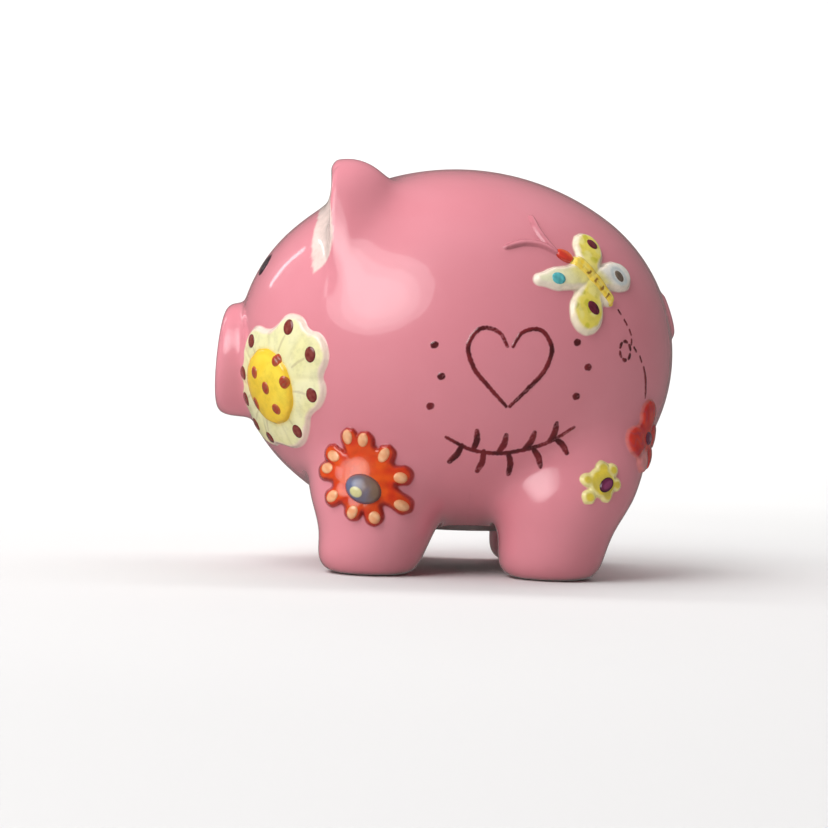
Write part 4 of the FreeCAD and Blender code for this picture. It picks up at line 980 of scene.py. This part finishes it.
def wings_of(u, v):
    left = smin(bar(u, v, -13.6, -0.9, -9.4, -0.8, 1.3, 2.6), bar(u, v, -9.4, -0.8, -3.0, -0.2, 2.6, 2.9), 0.8)
    top = smin(oval(u, v, *TOP), bar(u, v, 1.2, 6.6, -0.2, 1.6, 3.0, 2.5), 2.0)
    right = smin(oval(u, v, *RIGHT), bar(u, v, 6.6, 0.6, 1.8, -0.6, 2.9, 2.4), 2.0)
    bottom = smin(oval(u, v, *BOTTOM), bar(u, v, -2.4, -7.4, -0.4, -2.4, 3.3, 2.5), 2.0)
    parts = np.stack([top, left, right, bottom])
    d = bar(u, v, -2.6, 2.4, 3.4, -5.2, 2.2, 1.7)
    for q in parts:
        d = smin(d, q, 1.6)
    return d + 0.06 * wave(u, v, 61, 3.5), parts


def wing_height(u, v):
    d, parts = wings_of(u, v)
    two = np.sort(parts, axis=0)
    furrow = np.exp(-((two[1] - two[0]) / 0.8) ** 2)
    return 0.95 * pillow(d, 1.0) + 0.18 * step(0.5, -2.8, two[0]) - 0.12 * furrow * pillow(d, 2.0) + bank(d, 0.16, 0.9)


def wings(u, v):
    d, parts = wings_of(u, v)
    high = wing_height(u, v)
    own = parts.argmin(0)
    w1, w2 = wave(u, v, 63, 4.5), wave(u, v, 64, 4.0)
    yellow = tint((0.88, 0.74, 0.12), ((0.90, 0.80, 0.26), step(0.0, 1.0, w1)), ((0.62, 0.56, 0.03), 0.75 * step(0.25, 0.75, w2)))
    cream = tint((0.87, 0.84, 0.58), ((0.89, 0.82, 0.36), step(-10.5, -3.0, u)))
    pale = tint((0.87, 0.84, 0.77), ((0.64, 0.69, 0.68), step(0.9, 0.1, np.abs(oval(u, v, 7.9, 0.4, 1.9, 1.5, -50.0) - 0.3))))
    col = np.where((own == 1)[..., None], cream, np.where((own == 2)[..., None], pale, yellow))
    heart = step(4.6, 1.8, bar(u, v, -2.6, 2.4, 3.4, -5.2, 0.0, 0.0))[..., None] * 0.9
    col = col * (1 - heart) + np.array((0.89, 0.78, 0.24)) * heart
    edge = 0.85 * step(-1.2, -0.3, d + 0.12 * wave(u, v, 62, 3.0))[..., None]
    col = col * (1 - edge) + np.array((0.92, 0.80, 0.66)) * edge
    return high, d < 1.5, col, step(0.60, 0.02, d)


HEAD = (-5.8, 5.2, 2.4, 1.6, -34.0)


def fly_body(u, v):
    trunk = bar(u, v, -3.2, 3.5, 4.1, -5.9, 1.7, 1.15)
    head = oval(u, v, *HEAD)
    d = np.minimum(trunk, head)
    base = wing_height(u, v)
    rise = np.where(head < trunk, 0.95 + 0.0 * u, 0.42)
    floor_ = np.maximum(base, np.where(head < trunk, -0.03, -0.03))
    high = floor_ - 0.1 + (0.15 + rise * pillow(d, 1.3)) * step(0.2, -0.2, d)
    t = ((u + 3.3) * 7.5 + (v - 3.2) * -9.5) / (7.5**2 + 9.5**2)
    rings = np.abs((t * 5.2 + 0.1 * wave(u, v, 65, 2.0)) % 1.0 - 0.5)
    side = ((u + 3.3) * 9.5 + (v - 3.2) * 7.5) / math.hypot(7.5, 9.5)
    mark = step(0.20, 0.10, rings) * step(0.1, 0.2, t) * step(0.98, 0.9, t) * step(0.95, 0.55, np.abs(side + 0.25))
    col = tint((0.88, 0.60, 0.05), ((0.90, 0.72, 0.16), 0.5 + 0.5 * wave(u, v, 66, 2.0)), ((0.22, 0.07, 0.01), 0.85 * mark))
    redc = tint((0.66, 0.045, 0.025), ((0.78, 0.12, 0.04), step(-0.4, 1.2, u + v + 0.9)), ((0.36, 0.02, 0.02), 0.5 * step(-0.4, 0.0, head)))
    return high, d < 0.55, np.where((head < trunk)[..., None], redc, col), np.ones_like(d)


FEELERS = [curve([(-7.9, 6.1), (-10.4, 8.0), (-14.8, 9.0), (-19.3, 8.0)]), curve([(-7.8, 6.3), (-9.4, 9.2), (-10.3, 12.8), (-10.2, 16.6)])]


def feelers(u, v):
    d = np.minimum(brush(u, v, FEELERS[0], 1.7, 0.45)[0], brush(u, v, FEELERS[1], 1.7, 0.45)[0])
    high = 0.62 * pillow(d, 0.8) + bank(d, 0.16, 0.7)
    # The feelers' colour is painted shade: darker pink along the sides of each raised ridge, paler pink along its
    # crest.
    col = tint(np.array(PINK_DEEP) * 0.86, (np.array(PINK_THIN), step(-0.25, -0.7, d)))
    return high, d < 1.0, col, 0.85 * step(0.45, 0.0, d)


SPOTS = [(2.5, 8.5, 1.2), (-9.6, -1.2, 1.4), (7.9, 0.4, 1.15), (-1.6, -8.2, 1.3)]
SPOT_COLOURS = np.array([(0.15, 0.018, 0.030), (0.10, 0.47, 0.50), (0.15, 0.11, 0.08), (0.13, 0.012, 0.032)])


def spot_paint(u, v, d, hit):
    c = SPOT_COLOURS[hit]
    turn = (0.5 + 0.5 * wave(u * 1.6, v * 1.6, 68, 2.5))[..., None]
    return c * (0.75 + 0.5 * turn)


relief("butterfly_wings_relief", FLY_AT, FLY_N, (-17.5, -16.5, 14.5, 13.5), 0.18, wings, PAINTED, ["butterfly_wings"], "cream_glaze")
relief("butterfly_body_relief", FLY_AT, FLY_N, (-10, -8.5, 6.5, 8), 0.12, fly_body, PAINTED, ["butterfly_body"], "yellow_glaze")
relief("butterfly_feelers_relief", FLY_AT, FLY_N, (-21.5, 4.5, -6.0, 19), 0.14, feelers, PAINTED, ["butterfly_feelers"], "pink_glaze")
relief("butterfly_spots_relief", FLY_AT, FLY_N, (-12.5, -11.5, 10.5, 11), 0.12,
       drops(SPOTS, wing_height, 1.25, 1.0, 0.26, 90, spot_paint, [-50.0, -20.0, -50.0, -50.0]), PAINTED,
       ["butterfly_spots"], "maroon_glaze")

# dashed flight trail
TRAIL = [[(6.6, -7.7), (7.2, -8.5)], [(8.2, -9.8), (8.9, -10.7)], [(9.7, -11.9), (10.2, -12.9)], [(10.3, -14.0), (10.2, -15.1)],
         [(11.2, -15.6), (12.0, -16.3)], [(13.4, -17.2), (14.1, -18.1)],
         [(15.1, -19.2), (16.2, -21.0), (16.9, -22.9), (17.3, -24.8)]]
for a in range(0, 360, 60):
    t = [math.radians(a + 10 + k) for k in (0, 17, 34)]
    TRAIL.append([(8.2 + 1.75 * math.cos(x), -16.6 + 2.0 * math.sin(x)) for x in t])
MAROON = (0.190, 0.013, 0.019)


def line_paint(strokes, width, rise, keep=0.7, seed=70):
    paths = [(curve(s) if len(s) > 2 else np.array(s, float)) for s in strokes]

    def shape(u, v):
        best, along = np.full(u.shape, 99.0), np.zeros(u.shape)
        for i, q in enumerate(paths):
            pad = 2.0
            near = (u > q[:, 0].min() - pad) & (u < q[:, 0].max() + pad) & (v > q[:, 1].min() - pad) & (v < q[:, 1].max() + pad)
            w = width[i] if hasattr(width, "__len__") else width
            d, t = brush(u[near], v[near], q, w, 0.4)
            cur = best[near]
            along[near] = np.where(d < cur, t, along[near])
            best[near] = np.minimum(cur, d)
        best = best + 0.05 * wave(u, v, seed, 1.4)
        high = rise * pillow(best, 0.45) + 0.08 * np.maximum(0.0, 1 - np.maximum(best, 0.0) / 0.4) ** 2 - 0.035
        dry = step(-0.2, 0.9, wave(u, v, seed + 1, 1.2)) * step(0.45, 1.0, along)
        col = tint(MAROON, ((0.26, 0.035, 0.040), 0.5 * dry), ((0.080, 0.005, 0.008), step(-0.4, 0.8, wave(u, v, seed + 2, 6.0))))
        return high, best < keep, col, step(0.20, -0.06, best) * (1 - 0.22 * dry)
    return shape


relief("flight_trail_line", FLY_AT, FLY_N, (5, -26.5, 19, -6), 0.12, line_paint(TRAIL, 0.72, 0.10), PAINTED, ["flight_trail"], "maroon_glaze")

# ---------------------------------------------------------------- brushed heart and branch
K = 1.25
HEART = [[(-0.3, -7.6), (-3.6, -4.2), (-6.6, -0.6), (-7.5, 3.4), (-5.2, 6.3), (-2.0, 5.6), (-0.5, 3.2)],
         [(0.5, 3.2), (2.2, 5.8), (5.4, 6.4), (7.6, 3.4), (6.6, -0.6), (3.6, -4.2), (0.3, -7.6)],
         [(-11.0, -13.5), (-6.5, -15.6), (-1.5, -16.2), (3.5, -15.4), (8.5, -13.6), (12.5, -11.0)]]
widths = [0.95, 0.95, 0.85]
for sy, sz, ey, ez in ((-8.0, -14.9, -10.2, -18.0), (-4.0, -15.9, -5.0, -19.6), (0.6, -16.2, 0.8, -20.0),
                       (5.0, -15.0, 6.6, -18.4), (9.2, -13.2, 11.4, -15.8), (-6.0, -15.7, -5.4, -12.2),
                       (-1.4, -16.2, 0.0, -12.8), (3.4, -15.4, 5.2, -12.2), (8.0, -13.8, 9.2, -10.4)):
    HEART.append([(sy, sz), ((sy + ey) / 2 + 0.35, (sz + ez) / 2), (ey, ez)])
    widths.append(1.35)
for sy, sz in ((-13.6, 3.0), (-12.2, -2.6), (-14.0, -8.0), (12.4, 4.4), (14.6, 0.0), (12.6, -5.4)):
    HEART.append([(sy - 0.25, sz - 0.1), (sy, sz + 0.05), (sy + 0.25, sz + 0.1)])
    widths.append(1.5)
HEART = [[(x * K, y * K) for x, y in s] for s in HEART]
HEART_AT = np.array([flank(14.0, 49.5)[0][0], 14.0, 49.5])
relief("brushed_heart", HEART_AT, (1.0, 0.0, 0.0), (-20, -27, 20.5, 10), 0.16, line_paint(HEART, widths, 0.15, seed=75), PAINTED,
       ["brush_motif"], "maroon_glaze")

# ---------------------------------------------------------------- stopper
stopper_lo, stopper_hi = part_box("stopper")
SZ = stopper_lo.z * 1000


def stopper_shape(p):
    x, y, z = p[..., 0], p[..., 1] - 5.0, p[..., 2] - SZ
    r = np.hypot(x, y)
    flange = smax(r - 15.5, np.maximum(z - 2.2, -z), 0.9)
    flange = np.maximum(flange, z - 2.2)
    plug = np.maximum(np.maximum(r - 12.95, (r - 12.95 + (z - 7.8) * 0.4) * 0.93), np.maximum(z - 10.8, -z + 1.0))
    plug = smax(plug, z - 10.8, 0.6)
    cup = np.maximum(r - 10.55, -z + 3.8)
    moon = smax(np.maximum(r - 8.5, 1.5 - np.abs(y)), z - 1.4, 0.5)
    ring = np.abs(r - 12.0) - 0.45
    groove = np.maximum(ring, z - 0.28)
    d = np.minimum(flange, plug)
    d = smax(d, -cup, 0.6)
    d = smax(d, -moon, 0.5)
    return smax(d, -groove, 0.2)


m, nt, b = shader("stopper_rubber")
at = node(nt, "ShaderNodeTexCoord").outputs["Object"]
c = mixed(nt, ramp(nt, noise(nt, at, 70.0, 3.0, 0.6), 0.35, 0.7), (0.30, 0.28, 0.27), (0.245, 0.225, 0.215))
c = mixed(nt, ramp(nt, noise(nt, at, 900.0, 2.0, 0.7), 0.6, 0.8, 0.0, 0.3), c, (0.40, 0.38, 0.36))
nt.links.new(c, b.inputs["Base Color"])
nt.links.new(ramp(nt, noise(nt, at, 240.0, 3.0, 0.6), 0.3, 0.7, 0.46, 0.62), b.inputs["Roughness"])
b.inputs["IOR"].default_value = 1.5
bump = nt.nodes.new("ShaderNodeBump")
bump.inputs["Strength"].default_value = 0.25
bump.inputs["Distance"].default_value = 0.0002
nt.links.new(noise(nt, at, 1500.0, 3.0, 0.6), bump.inputs["Height"])
nt.links.new(bump.outputs[0], b.inputs["Normal"])
pts, quads = iso(stopper_shape, (-16.6, -11.6, SZ - 1.1), (16.6, 21.6, SZ + 12.0), 0.4)
mesh("belly_stopper", pts, quads, m, "stopper", ["stopper"], "stopper_rubber")

# ---------------------------------------------------------------- floor, lights, camera
def stage_mesh():
    """Pale sweep: a floor that curves up into a far wall behind the pig."""
    prof = [(x, 0.0) for x in np.linspace(1.6, -0.45, 24)]
    prof += [(-0.45 - 1.5 * math.sin(t), 1.5 - 1.5 * math.cos(t)) for t in np.linspace(0.03, math.pi / 2, 40)]
    prof += [(-1.95, 1.9), (-1.95, 2.6)]
    ys = np.linspace(-2.6, 2.6, 27)
    v = [(x, y, z) for x, z in prof for y in ys]
    n = len(ys)
    f = [(i * n + j, i * n + j + 1, (i + 1) * n + j + 1, (i + 1) * n + j) for i in range(len(prof) - 1) for j in range(n - 1)]
    me = bpy.data.meshes.new("sweep")
    me.from_pydata(v, [], f)
    me.polygons.foreach_set("use_smooth", np.ones(len(f), bool))
    return me


sweep = bpy.data.objects.new("sweep", stage_mesh())
bpy.context.scene.collection.objects.link(sweep)
fm, nt, b = shader("pale_paper")
at = node(nt, "ShaderNodeTexCoord").outputs["Object"]
c = mixed(nt, ramp(nt, noise(nt, at, 3.0, 2.0, 0.5), 0.3, 0.7), (0.70, 0.695, 0.69), (0.67, 0.665, 0.66))
nt.links.new(c, b.inputs["Base Color"])
b.inputs["Roughness"].default_value = 0.9
b.inputs["Specular IOR Level"].default_value = 0.1
geo = nt.nodes.new("ShaderNodeNewGeometry")
clear = nt.nodes.new("ShaderNodeBsdfTransparent")
mixs = nt.nodes.new("ShaderNodeMixShader")
nt.links.new(geo.outputs["Backfacing"], mixs.inputs[0])
nt.links.new(b.outputs[0], mixs.inputs[1])
nt.links.new(clear.outputs[0], mixs.inputs[2])
out = [k for k in nt.nodes if k.type == "OUTPUT_MATERIAL"][0]
nt.links.new(mixs.outputs[0], out.inputs[0])
sweep.data.materials.append(fm)
if sweep.data.polygons[30].normal.z < 0:
    sweep.data.flip_normals()
sweep.visible_glossy = False

world = bpy.data.worlds.new("room")
bpy.context.scene.world = world
world.use_nodes = True
wn = world.node_tree
bg = wn.nodes["Background"]
bg.inputs["Color"].default_value = (1.0, 0.94, 0.90, 1.0)
bg.inputs["Strength"].default_value = 0.14


def lamp(name, toward, distance, size_x, size_y, watts, colour=(1.0, 1.0, 1.0), aim=(0.0, 0.0, 0.05)):
    d = bpy.data.lights.new(name, "AREA")
    d.shape = "RECTANGLE"
    d.size, d.size_y, d.energy, d.color = size_x, size_y, watts, colour
    o = bpy.data.objects.new(name, d)
    bpy.context.scene.collection.objects.link(o)
    v = Vector(toward).normalized()
    o.location = Vector(aim) + v * distance
    o.rotation_mode = "QUATERNION"
    o.rotation_quaternion = (-v).to_track_quat("-Z", "Y")
    return o


for i, (way, size, radiance) in enumerate((((0.64, -0.56, 0.52), 0.80, 1.7), ((0.67, -0.56, 0.48), 0.58, 1.2),
                                           ((0.68, -0.56, 0.47), 0.38, 0.9))):
    soft = lamp("window_%d" % i, way, 0.9, size, size, radiance * math.pi * math.pi * size * size / 4, (1.0, 0.985, 0.985))
    soft.data.shape = "DISK"
over = lamp("overhead", (0.30, -0.46, 0.84), 1.3, 1.2, 1.2, 12.4, (0.97, 0.98, 1.0))
over.data.shape = "DISK"
over.visible_glossy = False
lamp("face_strip", (-0.42, -0.74, 0.52), 0.8, 0.05, 0.24, 0.14, (0.98, 0.99, 1.0))
wash = lamp("wall_wash", (0.0, 0.0, 1.0), 0.01, 2.6, 0.5, 34.0, aim=(-0.55, 0.0, 1.35))
wash.rotation_quaternion = Vector((-0.62, 0.0, -0.75)).to_track_quat("-Z", "Y")
wash.visible_glossy = False

cam_data = bpy.data.cameras.new("camera")
cam_data.lens = 80.45
cam_data.sensor_width = 36.0
cam_data.clip_start, cam_data.clip_end = 0.02, 20.0
camera = bpy.data.objects.new("camera", cam_data)
bpy.context.scene.collection.objects.link(camera)
roll = math.radians(1.77)
camera.matrix_world = Matrix(((0, 0, 1, 0.460), (math.cos(roll), -math.sin(roll), 0, -0.00713),
                              (math.sin(roll), math.cos(roll), 0, 0.03764), (0, 0, 0, 1)))
bpy.context.scene.camera = camera
bpy.context.scene.view_settings.view_transform = "Standard"
